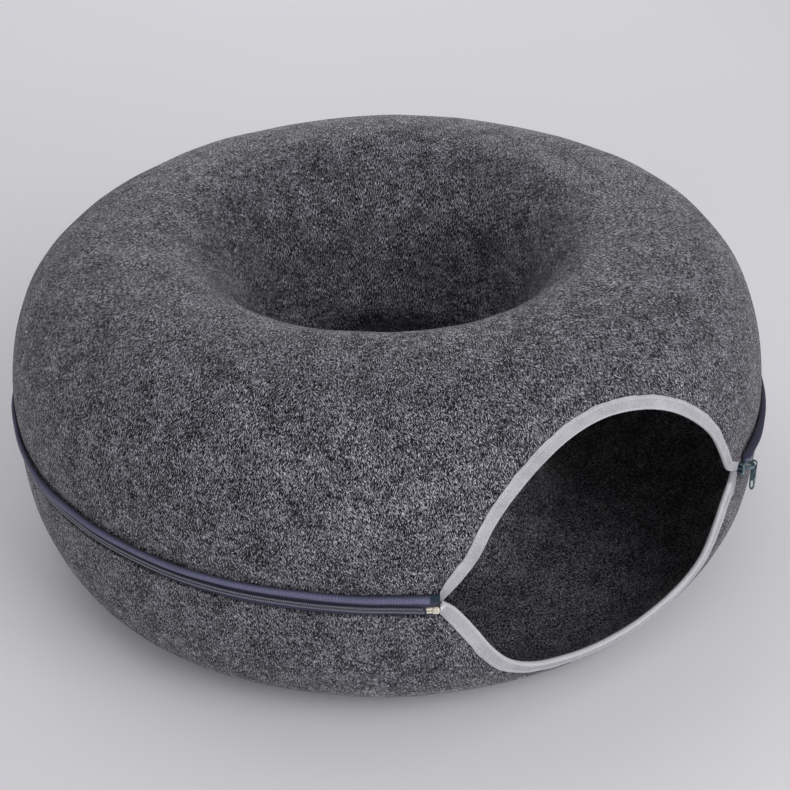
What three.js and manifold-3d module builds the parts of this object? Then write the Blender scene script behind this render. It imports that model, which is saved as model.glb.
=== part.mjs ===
// Felt cat tunnel bed: a ring-shaped tunnel of moulded felt, open through its middle, with one
// eye-shaped mouth. An upper and a lower half meet at a sewn neck inside the hole and at a zip
// round the outside. Ribbon is folded over the mouth's two cut lips.
//
// Millimetres, +Z up. The origin is on the floor in the middle of the bed's footprint, and the
// mouth faces -Y. Azimuth is measured about the ring's axis from -Y towards +X, in degrees.

import * as THREE from 'three';
import { mergeVertices } from 'three/addons/utils/BufferGeometryUtils.js';
import Module from 'manifold-3d';

const wasm = await Module();
wasm.setup();

// ---- Driving dimensions ----

const EQUATOR_RADIUS = 295;      // outer face of the felt at the zip
const EQUATOR_HEIGHT = 128;      // the equator plane above the floor
const AXIS_FORWARD = 6;          // the mouth opens the ring's front, so the axis is before the middle
const UPPER_RISE = 125.5;        // crest of the ring above the equator plane
const CREST_RADIUS = 179;        // highest circle of the upper half
const UPPER_POWER = 2.5;         // superellipse power of the upper outer wall
const BASE_OUTER_RADIUS = 193;   // outer edge of the flat base
const BASE_INNER_RADIUS = 165;   // inner edge of the flat base
const LOWER_POWER = 3.26;        // the lower outer wall is squarer
const THROAT_RADIUS = 105.5;     // hole's wall at the equator plane, before it is pinched
const HOLE_POWER = 2.1;
const NECK_PINCH = 15;           // the sewn neck draws the wall in by this
const PINCH_REACH = 50;          // height over which the wall is drawn in
const FELT = 4.5;                // felt thickness
const GAP = 0.3;                 // clearance between pieces that touch
const SIDES = 40;                // flats round the ring
const OUTER_STEPS = 7;           // flats from the straight rim to the crest
const HOLE_STEPS = 6;            // flats from the crest to the neck
const NECK_STEP = 0.45;          // the last flat before the neck, as a share of a step

// Heights at the zip, from the equator plane.
const UPPER_RIM = -2.1;
const LOWER_RIM = -14.5;
const STRAIGHT = 9;              // the walls stand straight this far from each rim
const BAND_HALF_HEIGHT = 3.4;    // the padded band over the upper rim, centred on the equator
const BAND_DEPTH = 4.6;
const TAPE = 1;                  // zip tape thickness
const TAPE_TURN_IN = 9;          // width of tape sewn behind the felt
const COIL_TOP = -6.4;
const COIL_BOTTOM = -11.7;
const COIL_FRONT = 1.3;          // the coil's face stands this far outside the felt
const COIL_BACK = -1.1;
const TAPE_MEET = -9.05;         // the two tapes meet behind the middle of the coil

// The mouth and its ribbon.
const CORNER_AZIMUTH = 26;       // the lips meet this far to each side of the mouth's middle
const CORNER_HEIGHT = -2.4;
const CORNER_SPLIT = 0.25;       // each lip stops this far from the corner's height
const RIBBON_END_AZIMUTH = 26.25;
const ZIP_END_AZIMUTH = 26.31;
const RIBBON_WIDTH = 10.5;       // width seen on each face of the felt
const RIBBON = 1.2;              // ribbon thickness
const FOLD_ROUND = 1.2;
const LIP_STEPS = 26;            // ribbon sections along each lip
const PLUG_REACH = 12;           // the plug that cuts the mouth stands this far past both faces
const PLUG_TIP = 60;             // and comes to a point this far from the outer face, each way

// Height of the upper lip above the equator plane, alike to both sides of its middle.
const UPPER_LIP = [
  { azimuth: 0, height: 94.4 },
  { azimuth: 4.3, height: 92.6 },
  { azimuth: 8.5, height: 87.5 },
  { azimuth: 12.5, height: 78 },
  { azimuth: 16, height: 64.4 },
  { azimuth: 18.7, height: 48 },
  { azimuth: 21, height: 28.6 },
  { azimuth: 23.3, height: 8.8 },
];

// The lower lip sits a little higher and straighter to the right of its middle.
const LOWER_LIP = [
  { azimuth: -23.9, height: -9.7 },
  { azimuth: -21.4, height: -29.5 },
  { azimuth: -19, height: -50 },
  { azimuth: -16.5, height: -65 },
  { azimuth: -13.8, height: -74.5 },
  { azimuth: -10.6, height: -80.5 },
  { azimuth: -5.5, height: -82.8 },
  { azimuth: 0, height: -82 },
  { azimuth: 5.5, height: -79.5 },
  { azimuth: 10.5, height: -74.5 },
  { azimuth: 14.8, height: -67 },
  { azimuth: 17.9, height: -56.5 },
  { azimuth: 20.1, height: -38.5 },
  { azimuth: 21.9, height: -20.5 },
  { azimuth: 23.9, height: -7.5 },
];

// Zip furniture.
const STOP_LENGTH = 9;
const COIL_CORNER = 0.9;

// The stop has a narrow neck by the coil and a wider block at the corner. Places and heights are
// shares of its length and of the coil's height.
const STOP_SECTIONS = [
  { fromCorner: 1, thinner: 0.8, height: 0.78 },
  { fromCorner: 0.62, thinner: 0.7, height: 0.8 },
  { fromCorner: 0.5, thinner: -0.1, height: 1.03 },
  { fromCorner: 0, thinner: -0.1, height: 1.03 },
];

const NEAR_CORNER = 0.2;         // degrees: a strip takes no section this near another
const SLIDER_AZIMUTH = 29.6;
const SLIDER_LENGTH = 13;
const SLIDER_WIDE = 10;          // height of the slider at its open end
const SLIDER_NARROW = 8.4;
const SLIDER_PLATE = 1.4;
const SLIDER_BEVEL = 0.35;
const SLIDER_ROUND = 1.2;
const SLIDER_WAIST = 0.1;        // half the tapering stretch, as a share of the length
const POST = { length: 2.2, height: 2.4, inset: 1.5 };
const COIL_END_AZIMUTH = 28.9;   // the coil and the tapes behind it run out inside the slider
const BAND_END_AZIMUTH = 31.1;   // the padded band starts just past the slider
const CROWN_SPAN = 8;
const CROWN_REACH = 5.6;         // how far the crown's loop stands off the front plate
const CROWN_STRIP = 1.5;
const CROWN_WIDTH = 2;
const CROWN_ROUND = 2;
const CROWN_INNER_ROUND = 0.8;
const CROWN_ROOT = 0.4;          // the crown's feet sink this far into the front plate
const PULL_LENGTH = 27;
const PULL_WIDTH = 6.6;
const PULL_THICKNESS = 1.2;
const PULL_SHOULDER = 1.2;
const PULL_TOE = 2.6;
const PULL_SET_IN = 0.4;         // the pull hangs this far in from the middle of its eye
const PULL_EYE = { width: 3.2, height: 3.6, rim: 1.6, round: 0.5 };
const PULL_SLOT = { width: 2.2, height: 6.4, rim: 2, round: 1 };

// The ring's flats are turned so that the slider sits on the middle of one.
const FLAT = 360 / SIDES;
const FIRST_CORNER = (SLIDER_AZIMUTH - FLAT / 2) % FLAT;

// ---- Finishes ----

const felt = new THREE.MeshStandardMaterial({ color: 0x5b5b60, roughness: 1, metalness: 0 });
const ribbonCloth = new THREE.MeshStandardMaterial({ color: 0xc9cbce, roughness: 0.8, metalness: 0 });
const zipCloth = new THREE.MeshStandardMaterial({ color: 0x484b62, roughness: 0.85, metalness: 0 });
const coilNylon = new THREE.MeshStandardMaterial({ color: 0x7b8496, roughness: 0.5, metalness: 0 });
const stopNylon = new THREE.MeshStandardMaterial({ color: 0xcfc8b6, roughness: 0.6, metalness: 0 });
const gunmetal = new THREE.MeshStandardMaterial({ color: 0x3f5563, roughness: 0.35, metalness: 0.9 });

// ---- Solids and booleans ----

// A closed geometry with shared corners and its faces turned outwards.
function closed(geometry) {
  const bare = geometry.index ? geometry : geometry.clone();
  bare.deleteAttribute('normal');
  bare.deleteAttribute('uv');
  const merged = mergeVertices(bare, 1e-3);
  const corners = [];
  const index = merged.index.array;
  for (let i = 0; i < index.length; i += 3) {
    const [a, b, c] = [index[i], index[i + 1], index[i + 2]];
    if (a !== b && b !== c && c !== a) corners.push(a, b, c);
  }
  merged.setIndex(signedVolume(merged, corners) < 0 ? corners.reverse() : corners);
  return merged;
}

function signedVolume(geometry, corners) {
  const position = geometry.getAttribute('position');
  const [a, b, c] = [new THREE.Vector3(), new THREE.Vector3(), new THREE.Vector3()];
  let six = 0;
  for (let i = 0; i < corners.length; i += 3) {
    a.fromBufferAttribute(position, corners[i]);
    b.fromBufferAttribute(position, corners[i + 1]);
    c.fromBufferAttribute(position, corners[i + 2]);
    six += a.dot(b.cross(c));
  }
  return six / 6;
}

function toSolid(geometry) {
  const body = closed(geometry);
  const vertProperties = new Float32Array(body.getAttribute('position').array);
  const triVerts = new Uint32Array(body.index.array);
  return new wasm.Manifold(new wasm.Mesh({ numProp: 3, vertProperties, triVerts }));
}

function toGeometry(solid) {
  const { vertProperties, triVerts } = solid.getMesh();
  const geometry = new THREE.BufferGeometry();
  geometry.setAttribute('position', new THREE.Float32BufferAttribute(vertProperties, 3));
  geometry.setIndex(Array.from(triVerts));
  return geometry;
}

// A closed body through rings of points that all have the same count. Each end is closed by a
// flat cap, or by a cone to its apex where one is given.
function loft(rings, { startApex = null, endApex = null, capShape = null } = {}) {
  const count = rings[0].length;
  const points = rings.flat();
  const corners = [];
  for (let ring = 0; ring + 1 < rings.length; ring += 1) {
    for (let i = 0; i < count; i += 1) {
      const a = ring * count + i;
      const b = ring * count + (i + 1) % count;
      corners.push(a, b, b + count, a, b + count, a + count);
    }
  }
  const last = (rings.length - 1) * count;
  const capFaces = capShape ? THREE.ShapeUtils.triangulateShape(capShape, []) : [];
  const clockwise = capShape ? THREE.ShapeUtils.isClockWise(capShape) : false;
  for (const [base, apex, flip] of [[0, startApex, true], [last, endApex, false]]) {
    if (apex) {
      points.push(apex);
      const tip = points.length - 1;
      for (let i = 0; i < count; i += 1) {
        const pair = [base + i, base + (i + 1) % count];
        corners.push(...(flip ? [pair[1], pair[0], tip] : [pair[0], pair[1], tip]));
      }
    } else {
      for (const [a, b, c] of capFaces) {
        const face = [base + a, base + b, base + c];
        corners.push(...(flip !== clockwise ? face.reverse() : face));
      }
    }
  }
  const geometry = new THREE.BufferGeometry().setFromPoints(points);
  geometry.setIndex(corners);
  return closed(geometry);
}

// ---- The felt walls as lines of radius and height ----

// Heights here are from the equator plane, and sign is 1 for the upper half, -1 for the lower.

function superellipse(from, to, rise, power, angle) {
  return new THREE.Vector2(
    to - (to - from) * Math.cos(angle) ** (2 / power),
    rise * Math.sin(angle) ** (2 / power),
  );
}

function angleAtHeight(height, rise, power) {
  return Math.asin((height / rise) ** (power / 2));
}

// From the rim at the zip, over the outer wall, to the crest or the base's outer edge.
function outerLine(rim, straightEnd, crestRadius, rise, power) {
  const first = angleAtHeight(Math.abs(straightEnd), Math.abs(rise), power);
  const line = [new THREE.Vector2(EQUATOR_RADIUS, rim)];
  for (let step = 0; step <= OUTER_STEPS; step += 1) {
    const angle = THREE.MathUtils.lerp(first, Math.PI / 2, step / OUTER_STEPS);
    line.push(superellipse(EQUATOR_RADIUS, crestRadius, rise, power, angle));
  }
  return line;
}

// From the crest or the base's inner edge down the hole's wall to the neck.
function holeLine(crestRadius, rise) {
  const line = [];
  const fractions = [];
  for (let step = HOLE_STEPS - 1; step > 0; step -= 1) fractions.push(step / HOLE_STEPS);
  fractions.push(NECK_STEP / HOLE_STEPS, 0);
  for (const fraction of fractions) {
    const point = superellipse(THROAT_RADIUS, crestRadius, rise, HOLE_POWER, fraction * Math.PI / 2);
    if (fraction === 0) point.y = Math.sign(rise) * GAP / 2;
    const drawn = Math.max(0, 1 - Math.abs(point.y) / PINCH_REACH) ** 2;
    point.x -= NECK_PINCH * drawn;
    line.push(point);
  }
  return line;
}

const upperLine = [
  ...outerLine(UPPER_RIM, STRAIGHT, CREST_RADIUS, UPPER_RISE, UPPER_POWER),
  ...holeLine(CREST_RADIUS, UPPER_RISE),
];
const lowerLine = [
  ...outerLine(LOWER_RIM, LOWER_RIM - STRAIGHT, BASE_OUTER_RADIUS, -EQUATOR_HEIGHT, LOWER_POWER),
  new THREE.Vector2(BASE_INNER_RADIUS, -EQUATOR_HEIGHT),
  ...holeLine(BASE_INNER_RADIUS, -EQUATOR_HEIGHT),
];

// The same line moved sideways by a distance, into the tunnel when it is positive. Both end
// edges stay level.
function offsetLine(line, distance, sign) {
  const normals = [];
  for (let i = 0; i + 1 < line.length; i += 1) {
    const along = line[i + 1].clone().sub(line[i]).normalize();
    normals.push(new THREE.Vector2(-along.y, along.x).multiplyScalar(sign));
  }
  return line.map((point, i) => {
    if (i === 0 || i === line.length - 1) {
      const normal = normals[Math.min(i, normals.length - 1)];
      return new THREE.Vector2(point.x + distance / normal.x, point.y);
    }
    const [before, after] = [normals[i - 1], normals[i]];
    const mitre = before.clone().add(after).multiplyScalar(1 / (1 + before.dot(after)));
    return point.clone().addScaledVector(mitre, distance);
  });
}

// A felt half as a full ring: its line, thickened into the tunnel by FELT, turned about the axis.
// Swell grows every face outwards by that much.
function feltRing(line, sign, swell = 0) {
  const outside = offsetLine(line, -swell, sign);
  const inside = offsetLine(line, FELT + swell, sign);
  for (const side of [outside, inside]) {
    side[0].y -= sign * swell;
    side[side.length - 1].y -= sign * swell;
  }
  const section = [...outside, ...inside.reverse()];
  section.push(section[0].clone());
  const geometry = new THREE.LatheGeometry(section, SIDES, THREE.MathUtils.degToRad(FIRST_CORNER));
  geometry.rotateX(Math.PI / 2);
  geometry.translate(0, 0, EQUATOR_HEIGHT);
  return toSolid(geometry);
}

// ---- Places on the outer wall ----

// A place is its azimuth and its arc, the distance along the wall from the equator plane, upwards.
// The outer wall's line runs from the lower half's base edge to the upper half's crest.
const outerCount = OUTER_STEPS + 2;
const wallOutside = [
  ...lowerLine.slice(0, outerCount).reverse(),
  ...upperLine.slice(0, outerCount),
];
const wallInside = [
  ...offsetLine(lowerLine, FELT, -1).slice(0, outerCount).reverse(),
  ...offsetLine(upperLine, FELT, 1).slice(0, outerCount),
];
const wallArc = [0];
for (let i = 1; i < wallOutside.length; i += 1) {
  wallArc.push(wallArc[i - 1] + wallOutside[i].distanceTo(wallOutside[i - 1]));
}
const equatorArc = wallArc[outerCount] - UPPER_RIM;

// The wall's line at an arc, moved outwards by depth (inwards where depth is negative).
function wallAt(arc, depth) {
  const along = arc + equatorArc;
  let i = wallArc.findIndex((end) => end >= along);
  i = THREE.MathUtils.clamp(i, 1, wallArc.length - 1);
  const share = (along - wallArc[i - 1]) / (wallArc[i] - wallArc[i - 1]);
  const outside = wallOutside[i - 1].clone().lerp(wallOutside[i], share);
  const inside = wallInside[i - 1].clone().lerp(wallInside[i], share);
  return outside.clone().addScaledVector(outside.clone().sub(inside), depth / FELT);
}

function arcAtHeight(height) {
  const i = wallOutside.findIndex((point, at) => at > 0 && point.y >= height);
  const [low, high] = [wallOutside[i - 1], wallOutside[i]];
  const share = (height - low.y) / (high.y - low.y);
  return THREE.MathUtils.lerp(wallArc[i - 1], wallArc[i], share) - equatorArc;
}

// The ring has flats, so between its corners a circle is drawn in towards the axis.
function onFlat(radius, height, azimuth) {
  const offCentre = THREE.MathUtils.euclideanModulo(azimuth - FIRST_CORNER, FLAT) - FLAT / 2;
  const drawn = Math.cos(THREE.MathUtils.degToRad(FLAT / 2)) / Math.cos(THREE.MathUtils.degToRad(offCentre));
  const turn = THREE.MathUtils.degToRad(azimuth);
  return new THREE.Vector3(
    radius * drawn * Math.sin(turn),
    -radius * drawn * Math.cos(turn),
    height + EQUATOR_HEIGHT,
  );
}

function placeOnWall(place, depth) {
  const { x: radius, y: height } = wallAt(place.arc, depth);
  return onFlat(radius, height, place.azimuth);
}

// ---- The mouth ----

// Places along a lip from the left corner to the right one, evenly spaced on a smooth curve.
function lipPlaces(rows, cornerHeight) {
  const millimetresPerDegree = THREE.MathUtils.degToRad(EQUATOR_RADIUS);
  const ends = [-CORNER_AZIMUTH, CORNER_AZIMUTH].map((azimuth) => ({ azimuth, height: cornerHeight }));
  const table = [ends[0], ...rows, ends[1]];
  const curve = new THREE.SplineCurve(table.map(({ azimuth, height }) => (
    new THREE.Vector2(azimuth * millimetresPerDegree, arcAtHeight(height)))));
  return curve.getSpacedPoints(LIP_STEPS).map(({ x, y }) => ({ azimuth: x / millimetresPerDegree, arc: y }));
}

const upperRows = [
  ...UPPER_LIP.slice(1).reverse().map(({ azimuth, height }) => ({ azimuth: -azimuth, height })),
  ...UPPER_LIP,
];
const upperLip = lipPlaces(upperRows, CORNER_HEIGHT + CORNER_SPLIT);
const lowerLip = lipPlaces(LOWER_LIP, CORNER_HEIGHT - CORNER_SPLIT);

// The place a distance away from a lip into its felt, square to the lip. Sign is 1 for the upper
// lip and -1 for the lower one.
function intoFelt(lip, i, distance, sign) {
  const { azimuth, arc } = lip[i];
  const [before, after] = [lip[Math.max(i - 1, 0)], lip[Math.min(i + 1, lip.length - 1)]];
  const perDegree = THREE.MathUtils.degToRad(wallAt(arc, 0).x);
  const along = new THREE.Vector2((after.azimuth - before.azimuth) * perDegree, after.arc - before.arc);
  along.normalize();
  return {
    azimuth: azimuth - sign * along.y * distance / perDegree,
    arc: arc + sign * along.x * distance,
  };
}

// How wide the ribbon is at a place on its lip: it is cut off square at the mouth's corners.
function ribbonWidth(lip, i, sign) {
  const reach = intoFelt(lip, i, RIBBON_WIDTH, sign);
  const sideways = Math.abs(reach.azimuth) - Math.abs(lip[i].azimuth);
  const room = RIBBON_END_AZIMUTH - Math.abs(lip[i].azimuth);
  return sideways > room ? RIBBON_WIDTH * room / sideways : RIBBON_WIDTH;
}

// The mouth as a plug through the wall, its side faces square to the felt. Margin is how far the
// felt's cut lies back from the folded ribbon's edge.
function mouthPlug(margin) {
  const outline = [
    ...upperLip.map((_, i) => intoFelt(upperLip, i, margin, 1)),
    ...lowerLip.map((_, i) => intoFelt(lowerLip, i, margin, -1)).reverse(),
  ];
  const depths = [PLUG_REACH, -FELT - PLUG_REACH];
  const rings = depths.map((depth) => outline.map((place) => placeOnWall(place, depth)));
  return toSolid(loft(rings, {
    startApex: onFlat(EQUATOR_RADIUS + PLUG_TIP, 0, 0),
    endApex: onFlat(EQUATOR_RADIUS - PLUG_TIP, 0, 0),
  }));
}

const ribbonStand = GAP + RIBBON;
const upperFelt = feltRing(upperLine, 1).subtract(mouthPlug(ribbonStand));
const lowerFelt = feltRing(lowerLine, -1).subtract(mouthPlug(ribbonStand));

// A ribbon folded over a lip: a bar along the lip with room for the felt taken out of it.
function ribbon(lip, line, sign) {
  const back = -FELT - ribbonStand;
  const rings = lip.map((_, i) => {
    const width = ribbonWidth(lip, i, sign);
    const round = Math.min(FOLD_ROUND, 0.4 * width);
    const section = [
      [round, ribbonStand], [(round + width) / 2, ribbonStand], [width, ribbonStand],
      [width, back], [(round + width) / 2, back], [round, back],
      [0, -FELT], [0, 0],
    ];
    return section.map(([distance, depth]) => placeOnWall(intoFelt(lip, i, distance, sign), depth));
  });
  const capShape = [[0, 4], [1, 4], [2, 4], [2, 0], [1, 0], [0, 0], [-1, 1], [-1, 3]]
    .map(([x, y]) => new THREE.Vector2(x, y));
  const room = feltRing(line, sign, GAP).subtract(mouthPlug(RIBBON));
  return toGeometry(toSolid(loft(rings, { capShape })).subtract(room));
}

// ---- The zip ----

// A strip that runs round the outside from the mouth's right corner, behind the ring, to its left
// corner. Stations are azimuths with the section to use there; the ring's own corners are added.
function aroundBack(stations) {
  const rings = [];
  for (let i = 0; i < stations.length; i += 1) {
    const { azimuth, section } = stations[i];
    rings.push(section.map(([depth, height]) => onFlat(EQUATOR_RADIUS + depth, height, azimuth)));
    const next = stations[i + 1];
    if (!next) break;
    const firstCorner = Math.ceil((azimuth - FIRST_CORNER) / FLAT) * FLAT + FIRST_CORNER;
    for (let corner = firstCorner; corner < next.azimuth - NEAR_CORNER; corner += FLAT) {
      if (corner - azimuth < NEAR_CORNER) continue;
      const share = (corner - azimuth) / (next.azimuth - azimuth);
      rings.push(section.map(([depth, height], k) => onFlat(
        EQUATOR_RADIUS + THREE.MathUtils.lerp(depth, next.section[k][0], share),
        THREE.MathUtils.lerp(height, next.section[k][1], share),
        corner,
      )));
    }
  }
  const capShape = stations[0].section.map(([depth, height]) => new THREE.Vector2(depth, height));
  return loft(rings, { capShape });
}

const backOfFelt = -FELT - GAP;

// The upper tape: padded where it is folded out over the rim, then under the rim, with one edge
// sewn up behind the felt and the other hanging behind the coil.
function upperTapeSection(depth, tapeEnd) {
  const under = UPPER_RIM - GAP;
  const bulge = [40, 90, 140].map((degrees) => {
    const turn = THREE.MathUtils.degToRad(degrees);
    return [GAP + (depth - GAP) * Math.sin(turn), BAND_HALF_HEIGHT * Math.cos(turn)];
  });
  return [
    [GAP, BAND_HALF_HEIGHT],
    ...bulge,
    [GAP, -BAND_HALF_HEIGHT],
    [COIL_BACK - GAP, -BAND_HALF_HEIGHT],
    [COIL_BACK - GAP, tapeEnd],
    [COIL_BACK - GAP - TAPE, tapeEnd],
    [COIL_BACK - GAP - TAPE, -BAND_HALF_HEIGHT],
    [backOfFelt - TAPE, -BAND_HALF_HEIGHT],
    [backOfFelt - TAPE, TAPE_TURN_IN],
    [backOfFelt, TAPE_TURN_IN],
    [backOfFelt, under],
    [GAP, under],
  ];
}

// The lower tape: up from behind the felt, over the lower rim, then up behind the coil.
function lowerTapeSection(tapeEnd) {
  const over = LOWER_RIM + GAP;
  return [
    [COIL_BACK - GAP, tapeEnd],
    [COIL_BACK - GAP, over],
    [backOfFelt, over],
    [backOfFelt, LOWER_RIM - TAPE_TURN_IN],
    [backOfFelt - TAPE, LOWER_RIM - TAPE_TURN_IN],
    [backOfFelt - TAPE, over + TAPE],
    [COIL_BACK - GAP - TAPE, over + TAPE],
    [COIL_BACK - GAP - TAPE, tapeEnd],
  ];
}

function coilSection() {
  return [
    [COIL_BACK, COIL_TOP],
    [COIL_FRONT - COIL_CORNER, COIL_TOP],
    [COIL_FRONT, COIL_TOP - COIL_CORNER],
    [COIL_FRONT, COIL_BOTTOM + COIL_CORNER],
    [COIL_FRONT - COIL_CORNER, COIL_BOTTOM],
    [COIL_BACK, COIL_BOTTOM],
  ];
}

const coilMiddle = (COIL_TOP + COIL_BOTTOM) / 2;
const lastAzimuth = 360 - ZIP_END_AZIMUTH;
const upperTapeEnd = TAPE_MEET + GAP / 2;
const lowerTapeEnd = TAPE_MEET - GAP / 2;
const stub = 0.2;

const upperTape = aroundBack([
  { azimuth: ZIP_END_AZIMUTH, section: upperTapeSection(GAP + TAPE, -BAND_HALF_HEIGHT - stub) },
  { azimuth: COIL_END_AZIMUTH, section: upperTapeSection(GAP + TAPE, -BAND_HALF_HEIGHT - stub) },
  { azimuth: COIL_END_AZIMUTH + 0.1, section: upperTapeSection(GAP + TAPE, upperTapeEnd) },
  { azimuth: BAND_END_AZIMUTH, section: upperTapeSection(GAP + TAPE, upperTapeEnd) },
  { azimuth: BAND_END_AZIMUTH + 1, section: upperTapeSection(BAND_DEPTH, upperTapeEnd) },
  { azimuth: lastAzimuth, section: upperTapeSection(BAND_DEPTH, upperTapeEnd) },
]);

const lowerStub = LOWER_RIM + GAP + TAPE + stub;
const lowerTape = aroundBack([
  { azimuth: ZIP_END_AZIMUTH, section: lowerTapeSection(lowerStub) },
  { azimuth: COIL_END_AZIMUTH, section: lowerTapeSection(lowerStub) },
  { azimuth: COIL_END_AZIMUTH + 0.1, section: lowerTapeSection(lowerTapeEnd) },
  { azimuth: lastAzimuth, section: lowerTapeSection(lowerTapeEnd) },
]);

const stopDegrees = THREE.MathUtils.radToDeg(STOP_LENGTH / EQUATOR_RADIUS);
const gapDegrees = THREE.MathUtils.radToDeg(GAP / EQUATOR_RADIUS);
const coil = aroundBack([
  { azimuth: COIL_END_AZIMUTH, section: coilSection() },
  { azimuth: lastAzimuth - stopDegrees - gapDegrees, section: coilSection() },
]);

// The stop at the coil's far end is the coil's section made thinner and narrower.
function stopSection({ thinner, height: share }) {
  return coilSection().map(([depth, height]) => (
    [depth > 0 ? depth - thinner : depth, coilMiddle + (height - coilMiddle) * share]));
}

const stop = aroundBack(STOP_SECTIONS.map((row) => (
  { azimuth: lastAzimuth - row.fromCorner * stopDegrees, section: stopSection(row) })));

// ---- Slider and pull ----

// These are drawn in the slider's own frame: X along the zip away from the mouth, Z up from the
// coil's middle, and -Y outwards from the felt's face.

// A flat shape in X and Z, given a thickness outwards from its back face.
function plate(shape, back, thickness, bevel = 0) {
  const geometry = new THREE.ExtrudeGeometry(shape, {
    depth: thickness - 2 * bevel,
    curveSegments: 3,
    bevelEnabled: bevel > 0,
    bevelThickness: bevel,
    bevelSize: bevel,
    bevelOffset: -bevel,
    bevelSegments: 1,
  });
  geometry.translate(0, 0, bevel);
  geometry.rotateX(Math.PI / 2);
  geometry.translate(0, -back, 0);
  return geometry;
}

function sliderOutline(length, wide, narrow) {
  const shape = new THREE.Shape();
  const [end, low, high] = [length / 2, narrow / 2, wide / 2];
  const waist = SLIDER_WAIST * length;
  shape.moveTo(-end, -high + SLIDER_ROUND);
  shape.quadraticCurveTo(-end, -high, -end + SLIDER_ROUND, -high);
  shape.lineTo(-waist, -high);
  shape.lineTo(waist, -low);
  shape.lineTo(end - SLIDER_ROUND, -low);
  shape.quadraticCurveTo(end, -low, end, -low + SLIDER_ROUND);
  shape.lineTo(end, low - SLIDER_ROUND);
  shape.quadraticCurveTo(end, low, end - SLIDER_ROUND, low);
  shape.lineTo(waist, low);
  shape.lineTo(-waist, high);
  shape.lineTo(-end + SLIDER_ROUND, high);
  shape.quadraticCurveTo(-end, high, -end, high - SLIDER_ROUND);
  return shape;
}

const frontPlate = COIL_FRONT + GAP;
const backPlate = COIL_BACK - 2 * GAP - TAPE;
const backPlateWidth = 2 * Math.min(
  coilMiddle - (LOWER_RIM + GAP + TAPE + stub + GAP),
  -BAND_HALF_HEIGHT - stub - GAP - coilMiddle,
);

const crownFoot = frontPlate + SLIDER_PLATE - CROWN_ROOT;

function sliderGeometry() {
  const front = toSolid(plate(sliderOutline(SLIDER_LENGTH, SLIDER_WIDE, SLIDER_NARROW),
    frontPlate, SLIDER_PLATE, SLIDER_BEVEL));
  const back = toSolid(plate(sliderOutline(SLIDER_LENGTH, backPlateWidth, backPlateWidth - 1),
    backPlate - SLIDER_PLATE, SLIDER_PLATE));
  // The post that splits the two tapes joins the plates beyond the coil's end.
  const post = toSolid(new THREE.BoxGeometry(
    POST.length, frontPlate - backPlate + SLIDER_PLATE, POST.height,
  ).translate(-SLIDER_LENGTH / 2 + POST.inset, -(frontPlate + backPlate) / 2, 0));
  // The crown is a strip arched outwards from the front plate along the zip.
  const arch = new THREE.Shape();
  const [outerHalf, innerHalf] = [CROWN_SPAN / 2, CROWN_SPAN / 2 - CROWN_STRIP];
  const [outerTop, innerTop] = [crownFoot + CROWN_REACH, crownFoot + CROWN_REACH - CROWN_STRIP];
  arch.moveTo(-outerHalf, crownFoot);
  arch.lineTo(-outerHalf, outerTop - CROWN_ROUND);
  arch.quadraticCurveTo(-outerHalf, outerTop, -outerHalf + CROWN_ROUND, outerTop);
  arch.lineTo(outerHalf - CROWN_ROUND, outerTop);
  arch.quadraticCurveTo(outerHalf, outerTop, outerHalf, outerTop - CROWN_ROUND);
  arch.lineTo(outerHalf, crownFoot);
  arch.lineTo(innerHalf, crownFoot);
  arch.lineTo(innerHalf, innerTop - CROWN_INNER_ROUND);
  arch.lineTo(innerHalf - CROWN_INNER_ROUND, innerTop);
  arch.lineTo(-innerHalf + CROWN_INNER_ROUND, innerTop);
  arch.lineTo(-innerHalf, innerTop - CROWN_INNER_ROUND);
  arch.lineTo(-innerHalf, crownFoot);
  const crown = new THREE.ExtrudeGeometry(arch, {
    depth: CROWN_WIDTH, bevelEnabled: false, curveSegments: 4,
  });
  crown.translate(0, 0, -CROWN_WIDTH / 2);
  crown.scale(1, -1, 1);
  return toGeometry(front.add(back).add(post).add(toSolid(crown)));
}

// A rectangle with its lower and its upper corners rounded.
function roundedBox(path, { left, bottom, width, height }, lowRound, highRound) {
  const [right, top] = [left + width, bottom + height];
  path.moveTo(left + lowRound, bottom);
  path.lineTo(right - lowRound, bottom);
  path.quadraticCurveTo(right, bottom, right, bottom + lowRound);
  path.lineTo(right, top - highRound);
  path.quadraticCurveTo(right, top, right - highRound, top);
  path.lineTo(left + highRound, top);
  path.quadraticCurveTo(left, top, left, top - highRound);
  path.lineTo(left, bottom + lowRound);
  path.quadraticCurveTo(left, bottom, left + lowRound, bottom);
  return path;
}

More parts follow.
